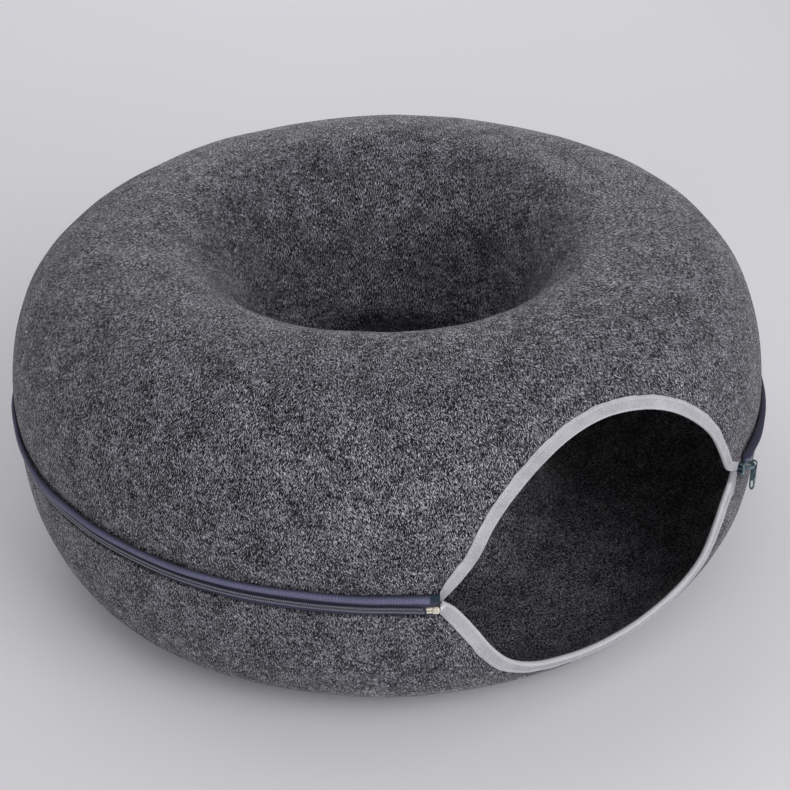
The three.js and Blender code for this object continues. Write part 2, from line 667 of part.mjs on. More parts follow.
// The pull hangs square to the zip from the crown, its flat facing along the zip. The shape is in
// distance outwards and height; the crown's strip passes through the eye.
function pullGeometry() {
  const crownMiddle = crownFoot + CROWN_REACH - CROWN_STRIP / 2;
  const eyeTop = CROWN_WIDTH / 2 + GAP;
  const top = eyeTop + PULL_EYE.rim;
  const outer = crownMiddle + PULL_EYE.width / 2 + PULL_EYE.rim - PULL_SET_IN;
  const bottom = top - PULL_LENGTH;
  const shape = roundedBox(new THREE.Shape(), {
    left: outer - PULL_WIDTH, bottom, width: PULL_WIDTH, height: PULL_LENGTH,
  }, PULL_TOE, PULL_SHOULDER);
  shape.holes.push(roundedBox(new THREE.Path(), {
    left: outer - PULL_EYE.rim - PULL_EYE.width, bottom: eyeTop - PULL_EYE.height, ...PULL_EYE,
  }, PULL_EYE.round, PULL_EYE.round));
  shape.holes.push(roundedBox(new THREE.Path(), {
    left: outer - (PULL_WIDTH + PULL_SLOT.width) / 2, bottom: bottom + PULL_SLOT.rim, ...PULL_SLOT,
  }, PULL_SLOT.round, PULL_SLOT.round));
  const geometry = new THREE.ExtrudeGeometry(shape, {
    depth: PULL_THICKNESS, bevelEnabled: false, curveSegments: 4,
  });
  geometry.translate(0, 0, -PULL_THICKNESS / 2);
  // The shape's first axis turns outwards, its second up, and its thickness lies along the zip.
  geometry.applyMatrix4(new THREE.Matrix4().makeBasis(
    new THREE.Vector3(0, -1, 0), new THREE.Vector3(0, 0, 1), new THREE.Vector3(-1, 0, 0)));
  return closed(geometry);
}

// ---- The assembled bed ----

function piece(name, geometry, material) {
  const mesh = new THREE.Mesh(geometry, material);
  mesh.name = name;
  return mesh;
}

const bed = new THREE.Group();
bed.position.y = -AXIS_FORWARD;
bed.add(piece('upper_shell', toGeometry(upperFelt), felt));
bed.add(piece('lower_shell', toGeometry(lowerFelt), felt));
bed.add(piece('mouth_ribbon_upper', ribbon(upperLip, upperLine, 1), ribbonCloth));
bed.add(piece('mouth_ribbon_lower', ribbon(lowerLip, lowerLine, -1), ribbonCloth));
bed.add(piece('zip_tape_upper', upperTape, zipCloth));
bed.add(piece('zip_tape_lower', lowerTape, zipCloth));
bed.add(piece('zip_coil', coil, coilNylon));
bed.add(piece('zip_stop', stop, stopNylon));

const sliderFrame = new THREE.Group();
sliderFrame.rotation.z = THREE.MathUtils.degToRad(SLIDER_AZIMUTH);
const sliderSeat = new THREE.Group();
const flatRadius = EQUATOR_RADIUS * Math.cos(THREE.MathUtils.degToRad(FLAT / 2));
sliderSeat.position.set(0, -flatRadius, EQUATOR_HEIGHT + coilMiddle);
sliderSeat.add(piece('zip_slider', sliderGeometry(), gunmetal));
sliderSeat.add(piece('zip_pull', pullGeometry(), gunmetal));
sliderFrame.add(sliderSeat);
bed.add(sliderFrame);

export default bed;
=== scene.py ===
"""A felt cat tunnel bed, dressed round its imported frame.

Metres, +Z up. A place on the felt's outer face is its azimuth and its arc. Azimuth is measured in
radians about the ring's axis, from the middle of the mouth towards +X. Arc is the distance along
the ring's section from the zip, upwards over the crest and down into the hole, or, below zero,
downwards under the base and up into the hole.
"""
import math

import bmesh
import bpy
import numpy as np
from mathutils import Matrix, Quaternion, Vector


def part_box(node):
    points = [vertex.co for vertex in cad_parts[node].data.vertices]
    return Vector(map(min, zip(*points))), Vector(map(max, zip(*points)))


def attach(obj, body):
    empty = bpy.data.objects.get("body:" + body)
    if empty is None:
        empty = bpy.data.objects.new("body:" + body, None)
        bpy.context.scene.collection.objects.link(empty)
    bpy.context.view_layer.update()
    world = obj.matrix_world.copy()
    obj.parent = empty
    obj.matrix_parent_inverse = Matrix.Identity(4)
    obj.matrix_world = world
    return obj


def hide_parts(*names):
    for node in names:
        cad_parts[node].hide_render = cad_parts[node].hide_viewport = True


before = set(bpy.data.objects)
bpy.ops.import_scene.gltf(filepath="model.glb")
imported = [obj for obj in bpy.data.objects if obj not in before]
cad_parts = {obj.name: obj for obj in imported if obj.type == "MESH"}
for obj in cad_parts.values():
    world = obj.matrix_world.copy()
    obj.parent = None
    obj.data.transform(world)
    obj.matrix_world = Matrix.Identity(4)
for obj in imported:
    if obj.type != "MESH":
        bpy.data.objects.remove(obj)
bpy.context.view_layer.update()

MM = 0.001

# ---- Sizes, from the frame where it has them ----

upper_low, upper_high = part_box("upper_shell")
coil_low, coil_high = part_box("zip_coil")

RADIUS = upper_high.x                      # the felt's outer face at the zip
AXIS_Y = coil_high.y - coil_high.x         # the coil reaches as far behind the axis as beside it
UPPER_RIM = -2.1 * MM                      # heights at the zip are from the equator plane
LOWER_RIM = -14.5 * MM
EQUATOR = upper_low.z - UPPER_RIM
RISE = upper_high.z - EQUATOR
CREST = 179 * MM                           # radius of the highest circle
BASE_OUTER = 193 * MM                      # radii of the flat base
BASE_INNER = 165 * MM
THROAT = 105.5 * MM                        # radius of the hole's curve at the neck, before the pinch
UPPER_POWER = 2.5                          # powers of the section's superellipses
LOWER_POWER = 3.26
HOLE_POWER = 2.1
NECK_PINCH = 15 * MM                       # how far the neck is drawn in, and how far from it
PINCH_REACH = 50 * MM
FELT = 4.5 * MM                            # the felt's thickness
NECK_GAP = 0.15 * MM

CORNER_AZIMUTH = math.radians(26)          # the mouth's corners, where the lips meet
RIBBON_END = math.radians(26.25)           # where the ribbons are cut off
ZIP_END = math.radians(26.31)              # where the zip's cloth begins and ends
CORNER_HEIGHT = -2.4 * MM
CORNER_SPLIT = 0.25 * MM                   # half the gap between the lips at a corner
RIBBON_WIDTH = 10.5 * MM
RIBBON_CLOTH = 0.85 * MM                   # its thickness
RIBBON_FACE = 0.55 * MM                    # the ribbon's two faces, from the felt's outer face
RIBBON_BACK = -3.6 * MM
CUT_INSET = 1.2 * MM                       # from the folded edge to the felt's cut inside it
SQUEEZE_FACE = 0.35 * MM                   # how far the sewn ribbon presses in each face
SQUEEZE_BACK = 1.8 * MM
STITCH_PITCH = 3.2 * MM

COIL_TOP = coil_high.z - EQUATOR
COIL_BOTTOM = coil_low.z - EQUATOR
COIL_MIDDLE = (COIL_TOP + COIL_BOTTOM) / 2
COIL_FRONT = coil_high.x - RADIUS
COIL_BACK = -1.1 * MM
COIL_PITCH = 1.3 * MM
COIL_START = math.radians(28.9)            # behind the slider, where the padded roll starts too
STOP_LENGTH = 9 * MM
SLIDER_AZIMUTH = math.radians(29.6)

# Azimuth in degrees and height from the equator plane in millimetres.
UPPER_LIP = [
    (-23.8, 10.8), (-21.2, 29.1), (-19, 48.9), (-16.1, 65.1), (-12.5, 78.1), (-8.5, 87.2),
    (-4.3, 92.4), (0, 94.1), (4.3, 92.2), (8.5, 87), (12.4, 77.3), (15.8, 63.3), (18.5, 47.4),
    (20.7, 27.8), (23, 7.7),
]
LOWER_LIP = [
    (-24.1, -10.5), (-21.5, -29.8), (-19.1, -50.4), (-16.7, -66), (-14, -76.1), (-10.7, -83.3),
    (-5.5, -86.4), (0, -87.4), (5.7, -86.7), (10.9, -82.7), (15.6, -75.4), (19.2, -62.7),
    (21.1, -41.3), (22.7, -22.4), (24.7, -10),
]

chance = np.random.default_rng(4)


# ---- The ring's skin ----

def superellipse(widest, highest, rise, power, steps=900):
    """Radius and height along a quarter of a superellipse, |x|^power + |y|^power = 1, from its
    widest circle at height nought to its highest one."""
    turn = np.linspace(0, np.pi / 2, steps)
    radius = highest + (widest - highest) * np.cos(turn) ** (2 / power)
    return np.column_stack([radius, rise * np.sin(turn) ** (2 / power)])


def walked(line):
    """The distance along a line of flat points to each of them."""
    return np.append(0, np.cumsum(np.hypot(*np.diff(line, axis=0).T)))


def skin_table():
    """The section's line from the lower neck round under the base, up past the zip, over the crest
    and down to the upper neck: arc, radius, height, and the outward direction's two parts. Near the
    neck the radius is drawn in: above it by the pinch times the square of one less the height's
    share of the reach, and below it by a half wave, so that the wall hangs straight there."""
    halves = []
    for rise, crest, base, power in ((-EQUATOR, BASE_INNER, BASE_OUTER, LOWER_POWER),
                                     (RISE, CREST, CREST, UPPER_POWER)):
        hole = superellipse(THROAT, crest, rise, HOLE_POWER)
        near = np.clip(1 - np.abs(hole[:, 1]) / PINCH_REACH, 0, 1)
        hole[:, 0] -= NECK_PINCH * (near ** 2 if rise > 0 else 0.5 - 0.5 * np.cos(np.pi * near))
        outer = superellipse(RADIUS, base, rise, power)
        halves.append(np.vstack([hole, outer[::-1]]))
    line = np.vstack([halves[0], halves[1][::-1]])
    steps = np.hypot(*np.diff(line, axis=0).T)
    line = line[np.append(True, steps > 1e-7)]
    arc = walked(line)
    arc -= arc[np.argmax(line[:, 0])]
    along = np.gradient(line, arc, axis=0)
    along /= np.linalg.norm(along, axis=1)[:, None]
    return arc, line[:, 0], line[:, 1], along[:, 1], -along[:, 0]


SKIN = skin_table()
LOWER_NECK, UPPER_NECK = SKIN[0][0] + NECK_GAP, SKIN[0][-1] - NECK_GAP
OUTER_WALL = (SKIN[0] > -0.2) & (SKIN[0] < 0.17)    # where height only rises


def smooth_step(share):
    """Nought below nought, one above one, and between them 3 s^2 - 2 s^3."""
    share = np.clip(share, 0, 1)
    return share * share * (3 - 2 * share)


def blend(start, end, share):
    """What lies a share of the way from start to end."""
    return start + (end - start) * share


def within_half_turn(azimuth):
    """The same directions, from minus half a turn to half a turn."""
    return (azimuth + np.pi) % (2 * np.pi) - np.pi


def arc_at_height(height):
    return np.interp(height, SKIN[2][OUTER_WALL], SKIN[0][OUTER_WALL])


def ring_point(azimuth, radius, height):
    """Points at an azimuth, radius and height from the equator plane."""
    azimuth, radius, height = np.broadcast_arrays(azimuth, radius, height)
    return np.stack([
        radius * np.sin(azimuth), AXIS_Y - radius * np.cos(azimuth), EQUATOR + height], axis=-1)


# The moulding is a little uneven. Each row is a wave: how high in mm, how many times it goes round
# the ring, how many radians it turns in a metre of arc, and where it starts.
WAVES = [
    (0.30, 2, 11, 0.4), (0.25, 3, -17, 2.1), (0.30, 5, 23, 4.4), (0.28, 7, -31, 1.2),
    (0.22, 11, 38, 5.6), (0.18, 13, -47, 3.3), (0.13, 19, 61, 0.9), (0.09, 29, -83, 2.7),
]
# Each swelling: mm outwards, its middle in degrees and in mm of arc, and its widths likewise.
SWELLINGS = [(2.0, 88, 113, 42, 52), (1.75, 36, -45, 17, 65), (-1.3, -28, -112, 20, 30)]
MEAN_LIFT = 0.9 * MM
FLAT_BELOW = 3 * MM                        # above the floor the base is even up to here
UNEVEN_FROM = 17 * MM                      # and fully uneven from here


def unevenness(azimuth, arc, height):
    """A sum of sine waves round the ring and along its section, and swellings that fall away as
    bells. All die out towards the base."""
    lift = MEAN_LIFT + sum(mm * MM * np.sin(times * azimuth + along * arc + start)
                           for mm, times, along, start in WAVES)
    for mm, middle, up, wide, tall in SWELLINGS:
        past = within_half_turn(azimuth - math.radians(middle))
        bell = np.exp(-(past / math.radians(wide)) ** 2 - ((arc - up * MM) / (tall * MM)) ** 2)
        lift = lift + mm * MM * bell
    return lift * smooth_step((height + EQUATOR - FLAT_BELOW) / (UNEVEN_FROM - FLAT_BELOW))


def skin(azimuth, arc, depth):
    """Points at a depth outside the felt's outer face."""
    radius, height, out_radius, out_height = (np.interp(arc, SKIN[0], column) for column in SKIN[1:])
    out = depth + unevenness(azimuth, arc, height)
    return ring_point(azimuth, radius + out * out_radius, height + out * out_height)


def zip_point(azimuth, height, depth):
    """Points beside the zip, where the wall stands straight."""
    lift = unevenness(azimuth, 0.0, 0.0)
    return ring_point(azimuth, RADIUS + depth + lift, height)


# The zip was sewn in by hand and does not run quite level. Each row is a place on its way, in
# degrees from the front: how far the coil rises there, how far the padded roll above it rises,
# half the roll's height, and how far it stands out, in mm.
ZIP_COURSE = np.array([
    (28.9, 0, 0, 3.4, 6.2), (33, 0, 0, 3.4, 5.7), (40, 0, 0, 3.2, 4.3), (50, 0, 0, 3, 3.0),
    (90, 0, 0, 3, 3), (200, 0, 0, 3, 3), (245, 1.6, 1.6, 2.9, 3.1), (264, 2.3, 2.5, 2.8, 3.2),
    (273, 2.5, 2.6, 2.8, 4.0), (285, 2.8, 2.4, 2.8, 3.7), (298, 3.2, 2.5, 2.8, 2.9),
    (309, 4, 3.7, 2.9, 2.6), (320, 3.7, 3.4, 3, 3), (327, 2.6, 2.9, 3.2, 3.8),
    (330, 1.6, 2.6, 3.3, 4.3), (332.3, 0.3, 1.8, 3.35, 4.3), (333.7, 0, 1.5, 3.35, 4.2),
])
RIM_RISE_MOST = 2.2 * MM


def zip_course(azimuth):
    """The rise of the coil and of the roll, and the roll's half height and reach, in metres, at
    places round the ring. Between two rows of the table a share s of the way goes as
    3 s^2 - 2 s^3."""
    turn = np.degrees(np.asarray(azimuth) % (2 * np.pi))
    row = np.clip(np.searchsorted(ZIP_COURSE[:, 0], turn) - 1, 0, len(ZIP_COURSE) - 2)
    before, after = ZIP_COURSE[row], ZIP_COURSE[row + 1]
    share = smooth_step((turn - before[..., 0]) / (after[..., 0] - before[..., 0]))[..., None]
    values = blend(before[..., 1:], after[..., 1:], share) * MM
    return np.moveaxis(values, -1, 0)


def lower_rim_rise(azimuth):
    """The lower half's rim follows the coil a part of the way up."""
    return np.minimum(zip_course(azimuth)[0], RIM_RISE_MOST)


# ---- Meshes ----

def outward(points, faces):
    """The faces, turned over where the body they close would be inside out: its volume is a sixth
    of the sum of the corners' triple products."""
    volume = 0.0
    for group in faces:
        first = points[group[:, 0]]
        for i in range(1, group.shape[1] - 1):
            crossed = np.cross(points[group[:, i]], points[group[:, i + 1]])
            volume += np.einsum("ij,ij->", first, crossed)
    return [group[:, ::-1] for group in faces] if volume < 0 else faces


def new_piece(name, points, faces, material, uv=None, smooth=True):
    """A piece from points (n, 3) and groups of faces, each an array of one row of corners a face.
    uv has one row a point."""
    points = np.ascontiguousarray(points, dtype=np.float64)
    mesh = bpy.data.meshes.new(name)
    mesh.vertices.add(len(points))
    mesh.vertices.foreach_set("co", points.astype(np.float32).ravel())
    corners = np.concatenate([group.ravel() for group in faces]).astype(np.int32)
    sizes = np.concatenate([np.full(len(group), group.shape[1]) for group in faces])
    starts = np.append(0, np.cumsum(sizes)[:-1]).astype(np.int32)
    mesh.loops.add(len(corners))
    mesh.loops.foreach_set("vertex_index", corners)
    mesh.polygons.add(len(sizes))
    mesh.polygons.foreach_set("loop_start", starts)
    mesh.polygons.foreach_set("use_smooth", np.full(len(sizes), smooth))
    if uv is not None:
        layer = mesh.uv_layers.new(name="along_across")
        layer.data.foreach_set("uv", uv[corners].astype(np.float32).ravel())
    mesh.update(calc_edges=True)
    piece = bpy.data.objects.new(name, mesh)
    bpy.context.scene.collection.objects.link(piece)
    piece.data.materials.append(material)
    return piece


def grid_faces(rows, columns, wrap_rows=False):
    """Four-cornered faces of a grid of closed rows, whose point (row, column) is number
    row * columns + column."""
    row = np.arange(rows if wrap_rows else rows - 1)[:, None]
    column = np.arange(columns)[None, :]
    next_row, next_column = (row + 1) % rows, (column + 1) % columns
    return np.stack([
        row * columns + column, row * columns + next_column,
        next_row * columns + next_column, next_row * columns + column], axis=-1).reshape(-1, 4)


def sweep_faces(rows, columns):
    """A closed section carried along a path, with a flat cap at each end."""
    first = np.arange(columns)[None, ::-1]
    last = (rows - 1) * columns + np.arange(columns)[None, :]
    return [grid_faces(rows, columns), first, last]


def sweep(name, grid, material, uv=None):
    """A piece from a grid (stations, section, 3) of closed sections."""
    rows, columns = grid.shape[:2]
    points = grid.reshape(-1, 3)
    faces = outward(points, sweep_faces(rows, columns))
    return new_piece(name, points, faces, material, None if uv is None else uv.reshape(-1, 2))


def many(name, grids, material):
    """A piece of many like swept bodies, from an array (bodies, stations, section, 3)."""
    bodies, rows, columns = grids.shape[:3]
    one = outward(grids[0].reshape(-1, 3), sweep_faces(rows, columns))
    first_points = (np.arange(bodies) * rows * columns)[:, None, None]
    faces = [(group[None] + first_points).reshape(-1, group.shape[1]) for group in one]
    return new_piece(name, grids.reshape(-1, 3), faces, material)


PANELS = 36
PANEL_SHIFT = 0.37                         # metres from one panel's place in the cloth to the next


def lay_cloth(piece, azimuth, arc):
    """The cloth's own map of a half of the ring, whose faces all have four corners: metres round
    the ring and up its section in each of its panels. Each panel has cloth of its own."""
    corner = np.zeros(len(piece.data.loops), np.int32)
    piece.data.loops.foreach_get("vertex_index", corner)
    azimuth, arc = azimuth.ravel()[corner].reshape(-1, 4), arc.ravel()[corner].reshape(-1, 4)
    middle = np.angle(np.exp(1j * azimuth).sum(axis=1))
    panel = np.round(middle * PANELS / (2 * np.pi))[:, None]
    past = within_half_turn(azimuth - panel * 2 * np.pi / PANELS)
    radius = np.interp(arc, SKIN[0], SKIN[1])
    layer = piece.data.uv_layers.new(name="along_across")
    both = np.stack([past * radius + panel * PANEL_SHIFT, arc], axis=-1)
    layer.data.foreach_set("uv", both.astype(np.float32).ravel())


def mark(piece, name, per_point):
    """A number for each point of a piece, for its finish to read."""
    layer = piece.data.attributes.new(name, "FLOAT", "POINT")
    layer.data.foreach_set("value", np.ascontiguousarray(per_point, dtype=np.float32).ravel())


def unit(vectors):
    return vectors / np.maximum(np.linalg.norm(vectors, axis=-1, keepdims=True), 1e-12)


def full_turn(sides):
    return np.linspace(0, 2 * np.pi, sides, endpoint=False)


def squared_off(wave, power):
    """A sine or cosine raised to a power below one, with its sign kept, which squares a circle."""
    return np.sign(wave) * np.abs(wave) ** power


def threads(paths, thickness, across, sides=6):
    """Round threads on many paths (threads, stations, 3). Across gives each path's sideways
    direction, and thickness is the thread's width at each station: at angle t round the thread a
    point is the path's, plus half the width times cos t across and sin t square to it."""
    along = unit(np.gradient(paths, axis=1))
    across = unit(across - np.sum(across * along, axis=-1, keepdims=True) * along)
    upright = np.cross(along, across)
    turn = full_turn(sides)
    ring = across[:, :, None] * np.cos(turn)[:, None] + upright[:, :, None] * np.sin(turn)[:, None]
    return paths[:, :, None] + ring * (np.asarray(thickness) / 2)[None, :, None, None]


def finish_off(piece, slot, *nodes):
    """A finished piece rides on the bed and stands for CAD nodes. Its slot is not used."""
    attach(piece, "root")
    if nodes:
        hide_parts(*nodes)
    return piece


# ---- Finishes ----

class Value:
    """A number or vector that comes out of a node. Arithmetic on it adds Math nodes."""

    def __init__(self, finish, socket):
        self.finish, self.socket = finish, socket

    def maths(self, operation, *terms):
        return self.finish.node("ShaderNodeMath", {"operation": operation}, dict(enumerate(terms)))

    def __add__(self, other):
        return self.maths("ADD", self, other)

    def __radd__(self, other):
        return self.maths("ADD", other, self)

    def __sub__(self, other):
        return self.maths("SUBTRACT", self, other)

    def __rsub__(self, other):
        return self.maths("SUBTRACT", other, self)

    def __mul__(self, other):
        return self.maths("MULTIPLY", self, other)

    def __rmul__(self, other):
        return self.maths("MULTIPLY", other, self)

    def __pow__(self, other):
        return self.maths("POWER", self, other)

    def size(self):
        return self.maths("ABSOLUTE", self)

    def part(self):
        return self.maths("FRACT", self)

    def sine(self):
        return self.maths("SINE", self)

    def wave(self, pitch):
        """From nought to one and back in each pitch, as a sine."""
        return (self * (2 * math.pi / pitch)).sine() * 0.5 + 0.5

    def rises(self, low, high):
        """Nought below low, one above high, and smooth between."""
        return self.finish.node(
            "ShaderNodeMapRange", {"interpolation_type": "SMOOTHSTEP"},
            {"Value": self, "From Min": low, "From Max": high, "To Min": 0.0, "To Max": 1.0})


class Finish:
    """The nodes of one material."""

    def __init__(self, name, **surface):
        self.material = bpy.data.materials.new(name)
        self.material.use_nodes = True
        self.nodes, self.links = self.material.node_tree.nodes, self.material.node_tree.links
        self.nodes.clear()
        self.output = self.nodes.new("ShaderNodeOutputMaterial")
        self.surfaces = []
        self.links.new(self.new_surface(surface), self.output.inputs["Surface"])

    def new_surface(self, surface):
        """A plain surface with these values on its sockets."""
        made = self.nodes.new("ShaderNodeBsdfPrincipled")
        self.surfaces.append(made)
        for socket, value in surface.items():
            made.inputs[socket.replace("_", " ")].default_value = value
        return made.outputs[0]

    def over(self, share, **surface):
        """A second surface, which takes this share of the first one's place."""
        both = self.node("ShaderNodeMixShader", {}, {
            0: share, 1: Value(self, self.surfaces[0].outputs[0]),
            2: Value(self, self.new_surface(surface))})
        self.links.new(both.socket, self.output.inputs["Surface"])

    def feed(self, socket, value):
        if isinstance(value, Value):
            self.links.new(value.socket, socket)
        else:
            socket.default_value = value

    def node(self, kind, settings=None, inputs=None, output=0):
        """One node: its settings first, then the values or links of its sockets."""
        made = self.nodes.new(kind)
        for name, value in (settings or {}).items():
            if name == "stops":
                ramp = made.color_ramp.elements
                while len(ramp) < len(value):
                    ramp.new(1.0)
                for element, (position, colour) in zip(ramp, value):
                    element.position, element.color = position, (*colour, 1.0)
            else:
                setattr(made, name, value)
        for name, value in (inputs or {}).items():
            self.feed(made.inputs[name], value)
        return Value(self, made.outputs[output])

    def place(self):
        return self.node("ShaderNodeTexCoord", output="Object")

    def parts(self, vector):
        """The three parts of a vector."""
        made = self.node("ShaderNodeSeparateXYZ", inputs={"Vector": vector})
        return [Value(self, socket) for socket in made.socket.node.outputs]

    def marked(self, name):
        """The numbers that a piece's points are marked with under this name."""
        return self.node("ShaderNodeAttribute", {"attribute_name": name}, output="Fac")

    def strip_place(self):
        """Metres along a strip and across it, from the piece's own map."""
        return self.node("ShaderNodeUVMap", {"uv_map": "along_across"})

    def along_across(self):
        return self.parts(self.strip_place())[:2]

    def drawn_out(self, spot, turn, sizes):
        """A place in a frame turned by turn, measured in grains of these three sizes."""
        return self.node("ShaderNodeMapping", {"vector_type": "TEXTURE"},
                         {"Vector": spot, "Rotation": turn, "Scale": sizes})

    def noise(self, spot, scale=1.0, detail=2.0, roughness=0.5, distortion=0.0):
        return self.node("ShaderNodeTexNoise", {"noise_dimensions": "3D"}, {
            "Vector": spot, "Scale": scale, "Detail": detail, "Roughness": roughness,
            "Distortion": distortion}, "Fac")

    def ramp(self, share, stops):
        return self.node("ShaderNodeValToRGB", {"stops": stops}, {"Fac": share})

    def mix(self, share, colour, other):
        """One colour shading into another."""
        colours = [c if isinstance(c, Value) else (*c, 1.0) for c in (colour, other)]
        return self.node("ShaderNodeMix", {"data_type": "RGBA"},
                         {0: share, 6: colours[0], 7: colours[1]}, 2)

    def colour(self, value):
        self.feed(self.surfaces[0].inputs["Base Color"], value)

    def rough(self, value):
        self.feed(self.surfaces[0].inputs["Roughness"], value)

    def relief(self, height, depth, strength=1.0):
        """Relief of this depth in metres, by height from nought to one."""
        bump = self.node("ShaderNodeBump", {}, {
            "Height": height, "Distance": depth, "Strength": strength})
        for surface in self.surfaces:
            self.links.new(bump.socket, surface.inputs["Normal"])


# A stroke of fibres, the ways the strokes lie, in degrees from round the ring, and the hole's
# wall, which fades into the shoulder between two distances from the ring's axis.
FIBRE_LONG, FIBRE_WIDE = 2.8 * MM, 0.62 * MM
FIBRE_LIES = (104, 66, 130, 88)
HOLE_WALL, SHOULDER = 125 * MM, 165 * MM


def felt_finish():
    """Needled felt: charcoal fibres with pale ones among them, in short strokes that run from the
    base towards the hole, leaning a little to one side here and to the other there, over a soft
    cloudiness. The pale fibres stand off the cloth and catch the light from the side."""
    f = Finish("heathered_felt", Base_Color=(0.0053, 0.005, 0.0075, 1.0), Roughness=0.6,
               Specular_IOR_Level=0.05, Sheen_Weight=0.05, Sheen_Roughness=0.3)
    spot, cloth = f.place(), f.strip_place()
    x, y, _ = f.parts(spot)
    in_hole = 1 - (x * x + (y - AXIS_Y) * (y - AXIS_Y)).rises(HOLE_WALL ** 2, SHOULDER ** 2)
    leftward, rightward, slanting, upright = (
        f.noise(f.drawn_out(cloth, (0.0, 0.0, math.radians(lie)), (FIBRE_LONG, FIBRE_WIDE, 1.0)),
                1.0, 0.8, 0.6, 0.1)
        for lie in FIBRE_LIES)
    lean, slant, settle = (f.noise(spot, scale, 1.0) for scale in (230.0, 170.0, 120.0))
    strokes = blend(leftward, rightward, lean.rises(0.45, 0.53))
    strokes = blend(strokes, slanting, slant.rises(0.52, 0.60))
    strokes = blend(strokes, upright, in_hole * 0.6 + settle.rises(0.52, 0.6) * 0.4)
    lint = f.noise(spot, 1250.0, 1.0, 0.5, 0.3)
    clouds = f.noise(spot, 48.0, 3.0, 0.6, 0.3)
    share = 0.5 + (strokes - 0.5) * (0.5 + settle) + (lint - 0.5) * 0.42
    share = share + (clouds - 0.5) * 0.16 + (slant - 0.5) * 0.13
    # In the hole the pale fibres thin out a little, which darkens it as a touch of painted shade.
    pale = (share - in_hole * 0.01).rises(0.325, 0.725) ** 2.35
    f.over(pale, Base_Color=(0.365, 0.36, 0.395, 1.0), Roughness=0.55, IOR=2.1,
           Specular_IOR_Level=0.5, Sheen_Weight=1.0, Sheen_Roughness=0.35)
    f.relief(strokes * 0.7 + lint * 0.3, 1.3 * MM)
    return f.material


def ribbon_finish():
    """Ribbed binding: fine cords across the ribbon in herringbone stripes, paler along its fold and its
    selvedge, and darkened with painted shade at its turned ends."""
    f = Finish("binding_ribbon", Roughness=0.72, Sheen_Weight=0.05, Sheen_Roughness=0.4,
               Specular_IOR_Level=0.2)
    along, across = f.along_across()
    stripe_wide = 2.6 * MM
    stripe = ((across * (1 / stripe_wide)).part() - 0.5).size() * stripe_wide
    weave = (along + stripe * 1.2).wave(0.95 * MM) * 0.7 + across.wave(0.65 * MM) * 0.3
    wear = f.noise(f.place(), 55.0, 4.0, 0.6, 0.3)
    fuzz = f.noise(f.place(), 900.0, 3.0, 0.7, 0.2)
    share = weave * 0.35 + wear * 0.3 + fuzz * 0.35
    face = f.ramp(share, [
        (0.32, (0.27, 0.275, 0.29)), (0.5, (0.49, 0.495, 0.51)), (0.68, (0.78, 0.785, 0.80))])
    face = f.mix(f.marked("edge"), face, (0.84, 0.845, 0.85))
    # Painted shade: the turned ends go a darker grey-lilac, as they lie in shadow at the corner.
    f.colour(f.mix(f.marked("turned_end") * 0.6, face, (0.30, 0.29, 0.34)))
    f.rough(0.85 - weave * 0.2)
    f.relief(weave + fuzz * 0.8, 0.5 * MM)
    return f.material


def zip_cloth_finish():
    """Slate-blue tape, ribbed across, with painted shade in its folds and recesses, and darker at its
    pressed end.
    """
    f = Finish("zip_tape_cloth", Roughness=0.85, Sheen_Weight=0.04, Sheen_Roughness=0.4,
               Specular_IOR_Level=0.15)
    along, across = f.along_across()
    weave = along.wave(0.95 * MM) * 0.65 + across.wave(0.6 * MM) * 0.35
    fuzz = f.noise(f.place(), 800.0, 3.0, 0.7, 0.2)
    clouds = f.noise(f.place(), 30.0, 2.0, 0.5)
    share = weave * 0.4 + fuzz * 0.35 + clouds * 0.25
    cloth = f.ramp(share, [
        (0.25, (0.040, 0.042, 0.085)), (0.5, (0.120, 0.122, 0.200)), (0.75, (0.26, 0.255, 0.36))])
    # Painted shade: the cloth goes near-black where a piece marks its edge, in place of the shadow in
    # folds and recesses.
    cloth = f.mix(f.marked("edge") * 0.85, cloth, (0.010, 0.011, 0.022))
    f.colour(f.mix(f.marked("pressed_end"), cloth, (0.018, 0.033, 0.048)))
    f.rough(0.9 - weave * 0.15)
    f.relief(weave + fuzz * 0.4, 0.3 * MM, 0.9)
    return f.material


def nylon_finish(name, dark, pale, roughness, grain, crest_highlight=None):
    """Moulded or drawn nylon with a slight mottle. Where a piece marks a crest, a painted highlight
    turns the nylon to another colour."""
    f = Finish(name, Roughness=roughness, Specular_IOR_Level=0.45)
    mottle = f.noise(f.place(), grain, 3.0, 0.6, 0.2)
    body = f.mix(mottle.rises(0.3, 0.7), dark, pale)
    # Painted highlight along the marked crests.
    if crest_highlight:
        body = f.mix(f.marked("crest"), body, crest_highlight)
    f.colour(body)
    f.rough(roughness - 0.08 + mottle * 0.16)
    f.relief(mottle, 0.06 * MM, 0.5)
    return f.material


def metal_finish():
    """Lacquered die-cast metal: blue-grey, worn paler in soft patches, with an orange-peel skin."""
    f = Finish("gunmetal_lacquer", Metallic=0.7, Roughness=0.36)
    wear = f.noise(f.place(), 260.0, 4.0, 0.6, 0.4)
    skin_grain = f.noise(f.place(), 1500.0, 2.0, 0.5)
    f.colour(f.mix(wear.rises(0.42, 0.7), (0.10, 0.15, 0.175), (0.30, 0.375, 0.40)))
    f.rough(0.30 + wear * 0.22)
    f.relief(skin_grain, 0.04 * MM, 0.6)
    return f.material


def thread_finish(name, dark, pale):
    """Spun thread: two shades in fine slanting plies."""
    f = Finish(name, Roughness=0.7, Sheen_Weight=0.2)
    plies = f.noise(f.drawn_out(f.place(), (0.6, 0.4, 0.8), (0.4 * MM, 0.4 * MM, 1.6 * MM)))
    f.colour(f.mix(plies.rises(0.35, 0.65), dark, pale))
    f.relief(plies, 0.08 * MM, 0.7)
    return f.material


